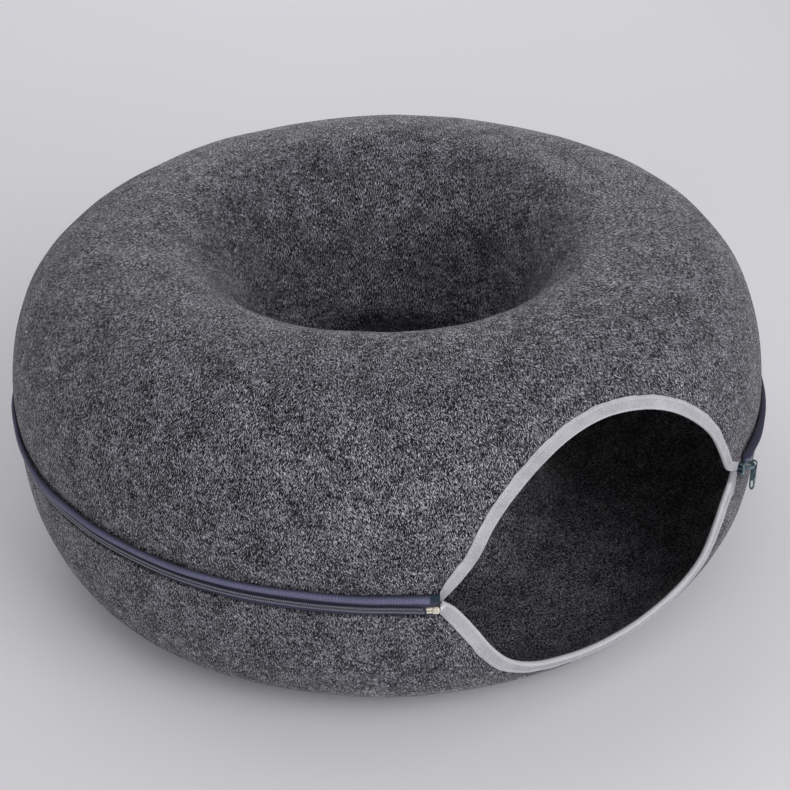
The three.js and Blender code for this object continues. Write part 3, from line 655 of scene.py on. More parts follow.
felt = felt_finish()
ribbon_cloth = ribbon_finish()
zip_cloth = zip_cloth_finish()
# The coil's last colour is a painted highlight along its beads' crests.
coil_nylon = nylon_finish(
    "coil_nylon", (0.020, 0.024, 0.040), (0.055, 0.062, 0.09), 0.38, 400.0, (0.34, 0.355, 0.39))
stop_nylon = nylon_finish("stop_nylon", (0.50, 0.46, 0.37), (0.72, 0.68, 0.57), 0.55, 300.0)
gunmetal = metal_finish()
ribbon_thread = thread_finish("ribbon_thread", (0.50, 0.51, 0.54), (0.78, 0.79, 0.81))
seam_thread = thread_finish("seam_thread", (0.035, 0.035, 0.042), (0.11, 0.11, 0.12))


# ---- The mouth's lips ----

def smooth_through(points, steps):
    """A Catmull-Rom curve: between two points it is the cubic whose slope at each is half the
    step from the point before to the point after."""
    points = np.vstack([2 * points[0] - points[1], points, 2 * points[-1] - points[-2]])
    t = np.linspace(0, 1, steps, endpoint=False)[None, :, None]
    before, start, end, after = (points[i:len(points) - 3 + i, None] for i in range(4))
    curve = 0.5 * (2 * start + (end - before) * t
                   + (2 * before - 5 * start + 4 * end - after) * t ** 2
                   + (3 * start - before - 3 * end + after) * t ** 3)
    return np.vstack([curve.reshape(-1, 2), points[-2]])


LIP_STEP = 0.8 * MM


class Lip:
    """One lip of the mouth, from its left corner to its right one, at even steps along it. Its sign
    is 1 for the upper lip and -1 for the lower one."""

    def __init__(self, rows, sign):
        self.sign = sign
        rows = [(math.radians(azimuth), height * MM) for azimuth, height in rows]
        corner = CORNER_HEIGHT + sign * CORNER_SPLIT
        rows = [(-CORNER_AZIMUTH, corner), *rows, (CORNER_AZIMUTH, corner)]
        table = np.array([(azimuth, arc_at_height(height)) for azimuth, height in rows])
        curve = smooth_through(table, steps=40)
        reached = walked(np.column_stack([curve[:, 0] * self.radius_at(curve[:, 1]), curve[:, 1]]))
        self.length = reached[-1]
        self.walk = np.linspace(0, self.length, round(self.length / LIP_STEP) + 1)
        self.azimuth = np.interp(self.walk, reached, curve[:, 0])
        self.arc = np.interp(self.walk, reached, curve[:, 1])
        self.along = unit(np.column_stack([
            np.gradient(self.azimuth) * self.radius_at(self.arc), np.gradient(self.arc)]))

    @staticmethod
    def radius_at(arc):
        return np.interp(arc, SKIN[0], SKIN[1])

    def into(self, distance):
        """Azimuth and arc a distance into the felt, square to the lip. Distance has a row for
        each step along the lip."""
        sideways = -self.sign * self.along[:, 1:] * distance
        upwards = self.sign * self.along[:, :1] * distance
        return (self.azimuth[:, None] + sideways / self.radius_at(self.arc)[:, None],
                self.arc[:, None] + upwards)

    def distance(self, azimuth, arc):
        """How far places on the felt are from the lip's nearest step."""
        across = (azimuth[..., None] - self.azimuth[::3]) * self.radius_at(arc)[..., None]
        return np.hypot(across, arc[..., None] - self.arc[::3]).min(axis=-1)

    def width(self, widest):
        """How wide the ribbon is along the lip: it is cut off square at the mouth's corners."""
        azimuth, _ = self.into(widest[:, None])
        sideways = np.abs(azimuth[:, 0]) - np.abs(self.azimuth)
        room = RIBBON_END - np.abs(self.azimuth)
        return np.where(sideways > room, widest * room / np.maximum(sideways, 1e-6), widest)


upper_lip, lower_lip = Lip(UPPER_LIP, 1), Lip(LOWER_LIP, -1)


# ---- The felt halves ----

EDGE_ROUND = 1.1 * MM
MOUTH_SIDE = 31                            # degrees to each side with the stations close together
PRESSED_TO = 8 * MM                        # the sewn lip is pressed to this distance from its cut
UNPRESSED_FROM = 17 * MM
CREASE_DEPTH = 1.7 * MM
CREASE_REACH = 3.6 * MM
CREASE_ABOVE = 0.6 * MM                    # from the padded roll's top to the crease's middle


def felt_half(name, lip, rim, neck):
    """One moulded half. Its section runs along the outer face from the rim, or from the mouth's
    cut, to the neck, round the neck's edge, back along the inner face and round the rim's edge.
    Above the zip's padded roll the felt is drawn in to a crease, whose depth is a bell."""
    mouth = np.radians(np.linspace(-MOUTH_SIDE, MOUTH_SIDE, 157))
    round_back = np.radians(np.linspace(MOUTH_SIDE, 360 - MOUTH_SIDE, 330)[1:-1])
    azimuth = np.concatenate([mouth, round_back])
    cut_azimuth, cut_arc = lip.into(np.full((len(lip.arc), 1), CUT_INSET))
    order = np.argsort(cut_azimuth[:, 0])
    cut = np.interp(azimuth, cut_azimuth[order, 0], cut_arc[order, 0], left=0, right=0)
    outside = np.abs(within_half_turn(azimuth)) > cut_azimuth.max()
    rim = rim + (zip_course(azimuth)[1] if lip.sign > 0 else lower_rim_rise(azimuth)) * outside
    start = np.where(outside, rim, np.maximum(cut, rim) if lip.sign > 0 else np.minimum(cut, rim))
    share = np.linspace(0, 1, 92)[1:-1] ** 1.6
    quarter = np.radians([0, 30, 60, 90])
    bend, sink = EDGE_ROUND * (1 - np.cos(quarter)), EDGE_ROUND * (1 - np.sin(quarter))
    shares = np.concatenate([np.zeros(4), share, np.ones(8), share[::-1], np.zeros(4)])
    nothing = np.zeros(len(share))
    shift = np.concatenate([bend, nothing, -bend[::-1], -bend, nothing, bend[::-1]]) * lip.sign
    depth = -np.concatenate([sink, nothing, sink[::-1], FELT - sink, nothing + FELT, FELT - sink[::-1]])
    arc = blend(start[:, None], neck, shares) + shift
    away = lip.distance(np.broadcast_to(mouth[:, None], (len(mouth), len(shares))), arc[:len(mouth)])
    squeeze = 1 - smooth_step((away - PRESSED_TO) / (UNPRESSED_FROM - PRESSED_TO))
    pressed = np.where(np.arange(len(shares)) < len(shares) / 2, -SQUEEZE_FACE, SQUEEZE_BACK)
    depth = np.broadcast_to(depth, arc.shape).copy()
    depth[:len(mouth)] += pressed * squeeze
    if lip.sign > 0:
        _, roll_rise, roll_half, _ = zip_course(azimuth)
        above = (arc - (roll_rise + roll_half + CREASE_ABOVE)[:, None]) / CREASE_REACH
        depth -= CREASE_DEPTH * outside[:, None] * np.exp(-above ** 2)
    points = skin(azimuth[:, None], arc, depth).reshape(-1, 3)
    faces = outward(points, [grid_faces(len(azimuth), len(shares), wrap_rows=True)])
    piece = new_piece(name, points, faces, felt)
    lay_cloth(piece, np.broadcast_to(azimuth[:, None], arc.shape), arc)
    return piece


felt_upper = finish_off(felt_half("felt_upper", upper_lip, UPPER_RIM, UPPER_NECK), "felt", "upper_shell")
felt_lower = finish_off(felt_half("felt_lower", lower_lip, LOWER_RIM, LOWER_NECK), "felt", "lower_shell")


def neck_stitches():
    """Short stitches across the butted halves, each a bowed thread that dips in at its ends."""
    count, neck_radius = 200, 90 * MM
    azimuth = np.arange(count) * 2 * np.pi / count + chance.normal(0, 0.002, count)
    reach = 2.6 * MM * np.linspace(-1, 1, 7)
    lean = chance.normal(0, 0.25, count)[:, None] * reach / neck_radius
    arc = np.where(reach > 0, UPPER_NECK - reach, LOWER_NECK - reach)
    bow = 0.35 * MM * (1 - (reach / reach[-1]) ** 2) - 0.25 * MM
    paths = skin(azimuth[:, None] + lean, arc[None, :], bow[None, :])
    across = ring_point(azimuth + 0.01, neck_radius, 0.0) - ring_point(azimuth, neck_radius, 0.0)
    width = 0.55 * MM * np.array([0.5, 0.9, 1, 1, 1, 0.9, 0.5])
    return many("neck_stitches", threads(paths, width, across[:, None]), seam_thread)


seam = finish_off(neck_stitches(), "felt")


# ---- The ribbons ----

STITCH_LINE = 8.2 * MM / RIBBON_WIDTH      # its share of the ribbon's width, from the fold
TURNED_END = 9 * MM                        # how long each ribbon's turned or tucked right end is


def ribbon_section():
    """The folded ribbon's closed section: distance from the folded edge, and depth outside the
    felt's outer face. Its outer layer lies on the felt, it turns over the felt's cut edge in half
    an ellipse, and its inner layer lies behind the felt."""
    middle, fold_wide = (RIBBON_FACE + RIBBON_BACK) / 2, 1.9 * MM
    fold_tall = (RIBBON_FACE - RIBBON_BACK) / 2
    under_face, over_back = RIBBON_FACE - RIBBON_CLOTH, RIBBON_BACK + RIBBON_CLOTH
    edge, edge_bulge = RIBBON_WIDTH, RIBBON_WIDTH + 0.08 * MM
    face = np.linspace(edge - 0.35 * MM, fold_wide, 14)
    turn = np.radians(np.linspace(90, 270, 13)[1:-1])
    fold = np.column_stack([fold_wide + fold_wide * np.cos(turn), middle + fold_tall * np.sin(turn)])
    inner = np.column_stack([fold_wide + (fold_wide - RIBBON_CLOTH) * np.cos(turn),
                             middle + (fold_tall - RIBBON_CLOTH) * np.sin(turn)])
    return np.vstack([
        [(edge, under_face), (edge_bulge, RIBBON_FACE - 0.5 * RIBBON_CLOTH)],
        np.column_stack([face, np.full(14, RIBBON_FACE)]),
        fold,
        np.column_stack([face[::-1], np.full(14, RIBBON_BACK)]),
        [(edge_bulge, RIBBON_BACK + 0.5 * RIBBON_CLOTH), (edge, over_back)],
        [(0.6 * edge, over_back), (fold_wide, over_back)],
        inner[::-1],
        [(fold_wide, under_face), (0.6 * edge, under_face)],
    ])


def ribbon_width(lip):
    """The ribbon's width along its lip: the upper one runs to a point at the left corner and is
    rolled in narrower on the right, and the lower one is spread wider on the right."""
    stations, widths = ((0, 16, 262, 300, 360), (5.2, 9.6, 9.5, 7.4, 7.2))
    if lip.sign < 0:
        stations, widths = ((0, 18, 285, 320, 360), (8.6, 10.5, 10.5, 11.8, 11.8))
    return lip.width(np.interp(lip.walk, np.array(stations) * MM, np.array(widths) * MM))


def ribbon(name, lip):
    """A ribbon folded over a lip. Along the stitch line its outer layer is drawn down towards the
    felt, more at each needle hole, and its free edge waves a little between them. At the right
    corner the upper ribbon's end is tucked into a roll, and the lower one's is turned back in a
    second layer with a slanting edge."""
    section = ribbon_section()
    share = ribbon_width(lip)[:, None] / RIBBON_WIDTH
    walk = lip.walk[:, None]
    distance, depth = section[None, :, 0] * share, np.repeat(section[None, :, 1], len(walk), 0)
    middle = (RIBBON_FACE + RIBBON_BACK) / 2
    outer = np.clip((section[:, 1] - middle) / (1.2 * MM), -1, 1)
    across = section[:, 0] / RIBBON_WIDTH
    stitch = np.exp(-((across - STITCH_LINE) / 0.07) ** 2)
    pull = 0.62 + 0.38 * np.cos(2 * np.pi * walk / STITCH_PITCH)
    depth = depth - outer * stitch * pull * 0.34 * MM
    free = np.clip((across - 0.6) / 0.4, 0, 1) ** 2
    wave = sum(mm * np.sin(walk * per + phase)
               for mm, per, phase in ((0.16, 260, lip.sign), (0.11, 437, 2), (0.08, 801, 4)))
    distance = distance + free * wave * MM
    depth = depth + outer * free * (0.08 * MM + 0.10 * MM * np.sin(walk * 349 + 1))
    left = lip.length - walk
    if lip.sign > 0:
        turned = 1 - smooth_step((left - TURNED_END) / (4 * MM))
        roll = np.sqrt(np.clip(1 - (1 - np.clip(left / (3.5 * MM), 0, 1)) ** 2, 0, 1))
        depth = depth + np.clip(outer, 0, 1) * turned * (1.5 * roll - 0.4) * MM
        turned = turned * 0.25
    else:
        turned = 1 - smooth_step((left - TURNED_END - 8 * MM * across) / (0.8 * MM))
        depth = depth + np.clip(outer, 0, 1) * turned * 0.6 * MM
    azimuth, arc = lip.into(distance)
    uv = np.stack(np.broadcast_arrays(walk, walked(section)[None, :]), axis=-1)
    piece = sweep(name, skin(azimuth, arc, depth), ribbon_cloth, uv)
    # The turned_end numbers place painted shade at the ribbon's turned ends.
    mark(piece, "turned_end", np.broadcast_to(turned, depth.shape))
    by_fold, by_selvedge = np.exp(-((across - 0.03) / 0.09) ** 2), np.exp(-((across - 0.97) / 0.07) ** 2)
    mark(piece, "edge", np.broadcast_to(0.5 * by_fold + 0.4 * by_selvedge, depth.shape))
    return piece


def on_ribbon(lip, walk, share, lift):
    """Points on a ribbon's outer face, at a share of its width from the fold."""
    width = ribbon_width(lip)
    azimuth, arc = lip.into(width[:, None] * np.array([[0.0, 1.0]]))
    fold_azimuth, edge_azimuth, fold_arc, edge_arc = (
        np.interp(walk, lip.walk, column) for column in (*azimuth.T, *arc.T))
    return skin(blend(fold_azimuth, edge_azimuth, share), blend(fold_arc, edge_arc, share), lift)


def ribbon_stitches(name, lip):
    """A row of lockstitches on both faces of a ribbon, where each stitch is a thread that bows up
    from one needle hole and down into the next."""
    first, last = 7 * MM, lip.length - 16 * MM
    count = int((last - first) / STITCH_PITCH)
    t = np.linspace(0.12, 0.88, 6)
    walk = first + (np.arange(count)[:, None] + 0.5 + t) * STITCH_PITCH
    bow = np.sin(np.pi * t) * 0.26 * MM
    rows = [(walk, np.full(walk.shape, STITCH_LINE), RIBBON_FACE - 0.3 * MM + bow),
            (walk, np.full(walk.shape, STITCH_LINE), RIBBON_BACK + 0.3 * MM - bow)]
    if lip.sign < 0:                       # nine crossed tacks at the lower ribbon's left corner
        tack = np.arange(9)[:, None]
        slant = np.where(tack % 2, 1 - t, t)
        rows.append((0.8 * MM + slant * 3.4 * MM, 0.12 + tack * 0.085 + 0.09 * t,
                     RIBBON_FACE + 0.02 * MM + 0.5 * bow))
    width = 0.48 * MM * np.array([0.55, 0.9, 1, 1, 0.9, 0.55])
    sewn = []
    for walk, share, lift in rows:
        paths = on_ribbon(lip, walk, share, lift)
        outwards = on_ribbon(lip, walk, share, lift + MM) - paths
        sewn.append(threads(paths, width, np.cross(np.gradient(paths, axis=1), outwards)))
    return many(name, np.concatenate(sewn), ribbon_thread)


for side, lip in (("upper", upper_lip), ("lower", lower_lip)):
    piece = finish_off(ribbon(f"ribbon_{side}", lip), "ribbon", f"mouth_ribbon_{side}")
    sewing = finish_off(ribbon_stitches(f"ribbon_stitches_{side}", lip), "ribbon")


# ---- The zip ----

ZIP_LAST = 2 * np.pi - ZIP_END             # the zip's end at the mouth's left corner
ZIP_STATIONS = np.linspace(ZIP_END, ZIP_LAST, 720)


def strip_section(path, thickness):
    """A strip's closed section: its middle line (depth, height), moved half its thickness to each
    side."""
    along = unit(np.gradient(path, axis=-2))
    side = np.stack([along[..., 1], -along[..., 0]], axis=-1) * thickness / 2
    return np.concatenate([path + side, (path - side)[..., ::-1, :]], axis=-2)


def zip_sweep(name, stations, section, material):
    """A section (depth, height), or one for each station, carried round behind the ring."""
    section = np.broadcast_to(section, (len(stations), *section.shape[-2:]))
    depth, height = section[..., 0], section[..., 1]
    around = walked(section[len(section) // 2])
    uv = np.stack(np.broadcast_arrays(stations[:, None] * RADIUS, around[None, :]), axis=-1)
    return sweep(name, zip_point(stations[:, None], height, depth), material, uv)


def zip_band():
    """The padded roll over the upper rim. At angle t of its section, from 90 degrees at the top to
    -90, its depth is its reach times (cos t)^0.9 and its height is half its width times sin t.
    Sine waves make it fuller here and flatter there, and it is pressed flat at its folded end by
    the mouth's left corner."""
    near_start, near_end = COIL_START + 0.02, ZIP_LAST - 0.03
    stations = np.concatenate([
        np.linspace(COIL_START, near_start, 8)[:-1], np.linspace(near_start, near_end, 640),
        np.linspace(near_end, ZIP_LAST, 14)[1:]])
    turn = np.radians(np.linspace(90, -90, 17))
    foot = 0.25 * MM
    profile = np.column_stack([np.cos(turn) ** 0.9, np.sin(turn)])
    from_start = np.clip((stations - COIL_START) / 0.012, 0, 1)
    to_end = (ZIP_LAST - stations) * RADIUS
    pressed = 1 - np.clip((to_end - 6.2 * MM) / (1.2 * MM), 0, 1)
    _, lift, half, reach = zip_course(stations)
    fullness = 1 + 0.05 * np.sin(11 * stations) + 0.04 * np.sin(29 * stations + 2)
    reach = reach * fullness * (0.45 + 0.55 * np.sqrt(from_start)) * (1 - 0.42 * pressed)
    half = half * (1 + 0.03 * np.sin(17 * stations + 1)) * (1 - 0.06 * pressed)
    lift = lift + 0.15 * MM * np.sin(7 * stations) + 0.1 * MM * np.sin(23 * stations)
    depth = foot + reach[:, None] * profile[None, :, 0]
    height = lift[:, None] + half[:, None] * profile[None, :, 1]
    piece = zip_sweep("zip_band", stations, np.stack([depth, height], axis=-1), zip_cloth)
    mark(piece, "pressed_end", np.repeat(pressed, len(turn)))
    # The roll's edge numbers are painted shade, read by the cloth's finish.
    crease_shade = np.abs(np.sin(turn)) ** 3                     # painted shade where it meets the felt
    top_shade = smooth_step((np.sin(turn) + 0.7) / 1.2)        # and painted shade all over its top by the slider
    near_slider = 1 - smooth_step((stations - math.radians(48)) / 0.2)[:, None]
    mark(piece, "edge", crease_shade + np.maximum(top_shade - crease_shade, 0) * near_slider)
    return piece


TAPE = 0.8 * MM                            # the tape's thickness
TAPE_SHADE = 0.75                          # how far the tapes are darkened with painted shade, as in a fold


def tape(name, path, rises):
    """A tape whose section follows a path (depth, height) in mm, in straight legs of five steps.
    Each corner of the path rises with its own part of the zip."""
    path = np.array(path) * MM + np.stack([np.zeros_like(rises), rises], axis=-1)
    steps = np.linspace(0, 1, 6)[:, None]
    legs = path[:, :-1, None] * (1 - steps) + path[:, 1:, None] * steps
    fine = np.concatenate([legs[:, :, :-1].reshape(len(path), -1, 2), path[:, -1:]], axis=1)
    piece = zip_sweep(name, ZIP_STATIONS, strip_section(fine, TAPE), zip_cloth)
    # Painted shade over the whole tape, which lies recessed under the roll and behind the coil.
    mark(piece, "edge", np.full(len(piece.data.vertices), TAPE_SHADE))
    return piece


def coil_row(name, sign):
    """One side of the closed coil: a flattened helix whose turns reach from the tape's edge to
    just past the coil's middle. At angle t its height is the row's middle plus half its width
    times cos t, and its depth follows sin t, so that each row is a round bead."""
    wire, wire_sides, per_turn = 0.66 * MM, 5, 8
    end = ZIP_LAST - STOP_LENGTH / RADIUS
    first, last = COIL_START * RADIUS, end * RADIUS
    turns = int((last - first) / COIL_PITCH) - 1
    t = np.linspace(0, 2 * np.pi * turns, turns * per_turn + 1)
    edge = COIL_TOP if sign > 0 else COIL_BOTTOM
    head = COIL_MIDDLE - sign * 0.05 * MM
    outer, inner = edge - sign * wire / 2, head + sign * wire / 2
    middle, half = (outer + inner) / 2, (outer - inner) / 2
    depth_middle, depth_half = (COIL_FRONT + COIL_BACK) / 2, (COIL_FRONT - COIL_BACK - wire) / 2
    depth = depth_middle + depth_half * np.sin(t)
    shift = 0.25 if sign > 0 else 0.75
    azimuth = (first + (t / (2 * np.pi) + shift) * COIL_PITCH) / RADIUS
    height = middle + half * np.cos(t) + zip_course(azimuth)[0]
    path = zip_point(azimuth, height, depth)
    across = zip_point(azimuth + 0.001, height, depth) - path
    grid = threads(path[None], np.full(len(t), wire), across[None], wire_sides)[0]
    piece = sweep(name, grid, coil_nylon)
    # The crest numbers place the painted highlight at the front and back of each bead.
    mark(piece, "crest", np.repeat(np.exp(-(np.cos(t) / 0.4) ** 2), wire_sides))
    return piece


def bar_shape(steps, blunt, power):
    """A bar with rounded edges, from -1 to 1 in each direction: its stations' places along it, and
    its sections' places out and up. A section is a squared-off circle, and at both ends it shrinks
    by the root of one less the eighth power of the place, which is never less than blunt."""
    t = np.linspace(-1, 1, steps)[:, None]
    swell = np.sqrt(np.clip(1 - t ** 8, blunt, 1))
    turn = full_turn(16)
    return t, swell * squared_off(np.cos(turn), power), swell * squared_off(np.sin(turn), power)


def rounded_bar(first, last, low, high, back, front):
    """A bar along the zip, from azimuth first to last, which climbs with the coil."""
    along, out, up = bar_shape(9, 0.45, 0.45)
    azimuth = (first + last) / 2 + (last - first) / 2 * along
    height = (low + high) / 2 + (high - low) / 2 * up + zip_course(azimuth)[0]
    return zip_point(azimuth, height, (back + front) / 2 + (front - back) / 2 * out)


def zip_stop():
    """The cream stop: a block at the mouth's corner with two prongs that grip the coil's end."""
    corner = ZIP_LAST - 0.1 * MM / RADIUS
    length = STOP_LENGTH / RADIUS
    top, bottom = COIL_TOP - 0.1 * MM, COIL_BOTTOM + 0.1 * MM
    split, step_in = 0.45 * MM, 0.5 * MM
    bars = [rounded_bar(corner - first * length, corner - last * length, low, high, COIL_BACK, front)
            for first, last, low, high, front in (
                (0.52, 0, bottom, top, COIL_FRONT + 0.15 * MM),
                (1, 0.4, COIL_MIDDLE + split, top - step_in, COIL_FRONT - step_in),
                (0.96, 0.4, bottom + step_in, COIL_MIDDLE - split, COIL_FRONT - step_in))]
    return many("zip_stop_block", np.stack(bars), stop_nylon)


band = finish_off(zip_band(), "zip_cloth", "zip_tape_upper")
coil_rise, roll_rise, _, _ = zip_course(ZIP_STATIONS)
rim_rise = lower_rim_rise(ZIP_STATIONS)
tape_upper = finish_off(tape(
    "tape_upper", [(-1.8, -8.8), (-1.8, -3.2), (-5.2, -2.9), (-5.2, 9)],
    np.stack([coil_rise, roll_rise, roll_rise, roll_rise], axis=-1)), "zip_cloth", "zip_tape_upper")
tape_lower = finish_off(tape(
    "tape_lower", [(-1.8, -9.3), (-1.8, -13.7), (-5.2, -13.7), (-5.2, -23.5)],
    np.stack([coil_rise, rim_rise, rim_rise, rim_rise], axis=-1)), "zip_cloth", "zip_tape_lower")
for row, sign in (("upper", 1), ("lower", -1)):
    finish_off(coil_row(f"coil_{row}_row", sign), "coil", "zip_coil")
finish_off(zip_stop(), "stop", "zip_stop")


# ---- The slider and its pull ----

SLIDER_SEAT = zip_point(SLIDER_AZIMUTH, COIL_MIDDLE, 0.0)
SEAT_AXES = np.array([
    (math.cos(SLIDER_AZIMUTH), math.sin(SLIDER_AZIMUTH), 0),      # along the zip
    (0, 0, 1),
    (math.sin(SLIDER_AZIMUTH), -math.cos(SLIDER_AZIMUTH), 0),     # outwards
])
PLATE_BACK = COIL_FRONT + 0.3 * MM         # the front plate's inner face
PLATE = 1.4 * MM                           # both plates' thickness, length and rounded edge
PLATE_LENGTH = 13 * MM
PLATE_BEVEL = 0.42 * MM
CROWN_MIDDLE = 2.2 * MM                    # along the zip from the slider's middle
CROWN_TOP = PLATE_BACK + PLATE + 5.0 * MM


def seated(points):
    """Points along the zip, up, and outwards from the slider's seat, put in place."""
    return np.asarray(points) @ SEAT_AXES + SLIDER_SEAT


def rounded_outline(left, right, low, high, bend, steps=6):
    """A rectangle with quarter circles at its corners."""
    corners = ((right - bend, high - bend, 0), (left + bend, high - bend, 90),
               (left + bend, low + bend, 180), (right - bend, low + bend, 270))
    outline = []
    for x, y, first in corners:
        turn = np.radians(first + np.linspace(0, 90, steps))
        outline.append(np.column_stack([x + bend * np.cos(turn), y + bend * np.sin(turn)]))
    return np.vstack(outline)


def inset(outline, amount):
    """An outline drawn in by an amount, square to itself. Its points run anticlockwise."""
    along = unit(np.roll(outline, -1, axis=0) - np.roll(outline, 1, axis=0))
    return outline + np.column_stack([-along[:, 1], along[:, 0]]) * amount


def cut_plate(name, body, holes, thickness, bevel, to_place, material):
    """A flat plate with rounded edges, from its outline and those of its holes. It is filled and
    bevelled as a flat curve, then made a mesh and put in place by to_place."""
    curve = bpy.data.curves.new(name, "CURVE")
    curve.dimensions, curve.fill_mode = "2D", "BOTH"
    curve.extrude, curve.bevel_depth, curve.bevel_resolution = thickness / 2 - bevel, bevel, 2
    for outline in [inset(body, bevel), *(inset(hole, -bevel) for hole in holes)]:
        spline = curve.splines.new("POLY")
        spline.points.add(len(outline) - 1)
        flat = np.column_stack([outline, np.zeros(len(outline)), np.ones(len(outline))])
        spline.points.foreach_set("co", flat.astype(np.float32).ravel())
        spline.use_cyclic_u = True
    rough = bpy.data.objects.new(name + "_outline", curve)
    mesh = bpy.data.meshes.new_from_object(rough)
    bpy.data.objects.remove(rough)
    bpy.data.curves.remove(curve)
    points = np.zeros(len(mesh.vertices) * 3, np.float32)
    mesh.vertices.foreach_get("co", points)
    mesh.vertices.foreach_set("co", to_place(points.reshape(-1, 3)).astype(np.float32).ravel())
    return tidy_mesh(name, mesh, material)


SMOOTH_UNDER = math.radians(35)            # faces that meet at less than this are shaded smooth


def tidy_mesh(name, mesh, material):
    """A mesh with doubled points merged and its faces turned outwards."""
    work = bmesh.new()
    work.from_mesh(mesh)
    bmesh.ops.remove_doubles(work, verts=work.verts, dist=1e-6)
    bmesh.ops.recalc_face_normals(work, faces=work.faces)
    work.to_mesh(mesh)
    work.free()
    mesh.materials.clear()
    mesh.materials.append(material)
    mesh.name = name
    piece = bpy.data.objects.new(name, mesh)
    bpy.context.scene.collection.objects.link(piece)
    mesh.shade_smooth()
    mesh.set_sharp_from_angle(angle=SMOOTH_UNDER)
    return piece


def slider_outline(wide, narrow):
    """The slider's plate: wide where the two rows come in, narrower past its waist, with quarter
    circles at its corners."""
    length, bend = PLATE_LENGTH, 1.2 * MM
    turn = np.radians(np.linspace(0, 90, 6))
    quarter = np.column_stack([bend * np.cos(turn), bend * np.sin(turn)])
    right = np.array([length / 2 - bend, narrow / 2 - bend]) + quarter
    ease = 0.12 * (wide - narrow)
    waist = [(0.1 * length, narrow / 2), (0.03 * length, narrow / 2 + ease),
             (-0.03 * length, wide / 2 - ease), (-0.1 * length, wide / 2)]
    left = np.array([-length / 2 + bend, wide / 2 - bend]) + quarter[::-1] * (-1, 1)
    top = np.vstack([right, waist, left])
    return np.vstack([top, top[::-1] * (1, -1)])


def strap(path, wide, thick):
    """A grid of squared-off circles along a path (along the zip, outwards)."""
    along = unit(np.gradient(path, axis=0))
    side = np.column_stack([-along[:, 1], along[:, 0]])
    turn = full_turn(12)
    thick_part = thick / 2 * squared_off(np.cos(turn), 0.6)
    x = path[:, :1] + side[:, :1] * thick_part
    out = path[:, 1:] + side[:, 1:] * thick_part
    up = np.broadcast_to(wide / 2 * squared_off(np.sin(turn), 0.6), x.shape)
    return seated(np.stack([x, up, out], axis=-1))


def side_wall(height, back, front):
    """One of the slider's two side walls, a rounded bar that runs along the zip."""
    along, out, up = bar_shape(11, 0.4, 0.5)
    out = (back + front) / 2 + (front - back) / 2 * out
    up = height + 0.75 * MM * up
    return seated(np.stack(np.broadcast_arrays(6.1 * MM * along, up, out), axis=-1))


def slider():
    """Front plate, back plate, side walls, post and crown, joined into one piece."""
    front_out, back_out = PLATE_BACK + PLATE / 2, COIL_BACK - 1.6 * MM - PLATE / 2
    front, back = (
        cut_plate(name, slider_outline(wide, narrow), [], PLATE, PLATE_BEVEL,
                  lambda points: seated(points + (0, 0, out)), gunmetal)
        for name, wide, narrow, out in (("slider_front", 9.4 * MM, 8 * MM, front_out),
                                        ("slider_back", 6.2 * MM, 5.4 * MM, back_out)))
    turn = np.radians(np.linspace(180, 0, 21))
    arch = np.column_stack([CROWN_MIDDLE + 3.6 * MM * squared_off(np.cos(turn), 0.55),
                            blend(PLATE_BACK + PLATE * 0.7, CROWN_TOP, np.abs(np.sin(turn)) ** 0.55)])
    crown = sweep("slider_crown", strap(arch, 2.3 * MM, 1.5 * MM), gunmetal)
    post_path = np.column_stack([np.full(9, -5.1 * MM), np.linspace(back_out, PLATE_BACK, 9)])
    post = sweep("slider_post", strap(post_path, 2.4 * MM, 2.0 * MM), gunmetal)
    wall_back, wall_front = PLATE_BACK - 3.4 * MM, PLATE_BACK + PLATE - 0.2 * MM
    walls = [sweep(f"slider_wall_{side}", side_wall(side * 3.7 * MM, wall_back, wall_front), gunmetal)
             for side in (-1, 1)]
    parts = [front, back, crown, post, *walls]
    with bpy.context.temp_override(active_object=front, object=front,
                                   selected_editable_objects=parts, selected_objects=parts):
        bpy.ops.object.join()
    front.name = front.data.name = "slider_body"
    return front


def pull():
    """The flat pull that hangs from the crown's far end, with its eye and its long slot. Its lower
    end is half an ellipse. It is turned a little on its own length."""
    eye_place = np.array([CROWN_MIDDLE + 3.0 * MM, 1.2 * MM, CROWN_TOP - 0.2 * MM])
    half, top, straight, tip = 2.25 * MM, 2.4 * MM, -20.0 * MM, -24.4 * MM
    turn = np.radians(np.linspace(180, 360, 19))
    shoulder = rounded_outline(-half, half, straight, top, 1.4 * MM)[:12]     # its two upper corners
    end = np.column_stack([half * np.cos(turn), straight + (straight - tip) * np.sin(turn)])
    body = np.vstack([shoulder, end])
    eye = rounded_outline(-1.2 * MM, 1.2 * MM, -2.2 * MM, 1.1 * MM, 0.9 * MM)
    slot = rounded_outline(-0.8 * MM, 0.8 * MM, tip + 1.7 * MM, tip + 8.3 * MM, 0.75 * MM)
    twist = math.radians(-10)

    def hang(points):
        """The plate's first axis turns outwards and its thickness lies along the zip."""
        out, up, along = points.T
        out, along = (out * math.cos(twist) - along * math.sin(twist),
                      out * math.sin(twist) + along * math.cos(twist))
        return seated(np.column_stack([along, up, out]) + eye_place)

    return cut_plate("slider_pull", body, [eye, slot], 1.2 * MM, 0.35 * MM, hang, gunmetal)


finish_off(slider(), "zip_metal", "zip_slider")
finish_off(pull(), "zip_metal", "zip_pull")


# ---- Camera, light and floor ----

CAMERA_AZIMUTH = math.radians(-32.2)
CAMERA_RISE = math.radians(31.6)
CAMERA_DISTANCE = 1.2466
CAMERA_ROLL = math.radians(-1.25)
AIM_RIGHT, AIM_DOWN = 0.0057, 0.0251       # the view's middle, from the ring's own
LENS, FILM_WIDTH = 69.78, 36               # in mm

ring_middle = Vector((0, AXIS_Y, EQUATOR))


def from_middle(azimuth, rise, distance):
    return ring_middle + distance * Vector((
        math.sin(azimuth) * math.cos(rise), -math.cos(azimuth) * math.cos(rise), math.sin(rise)))


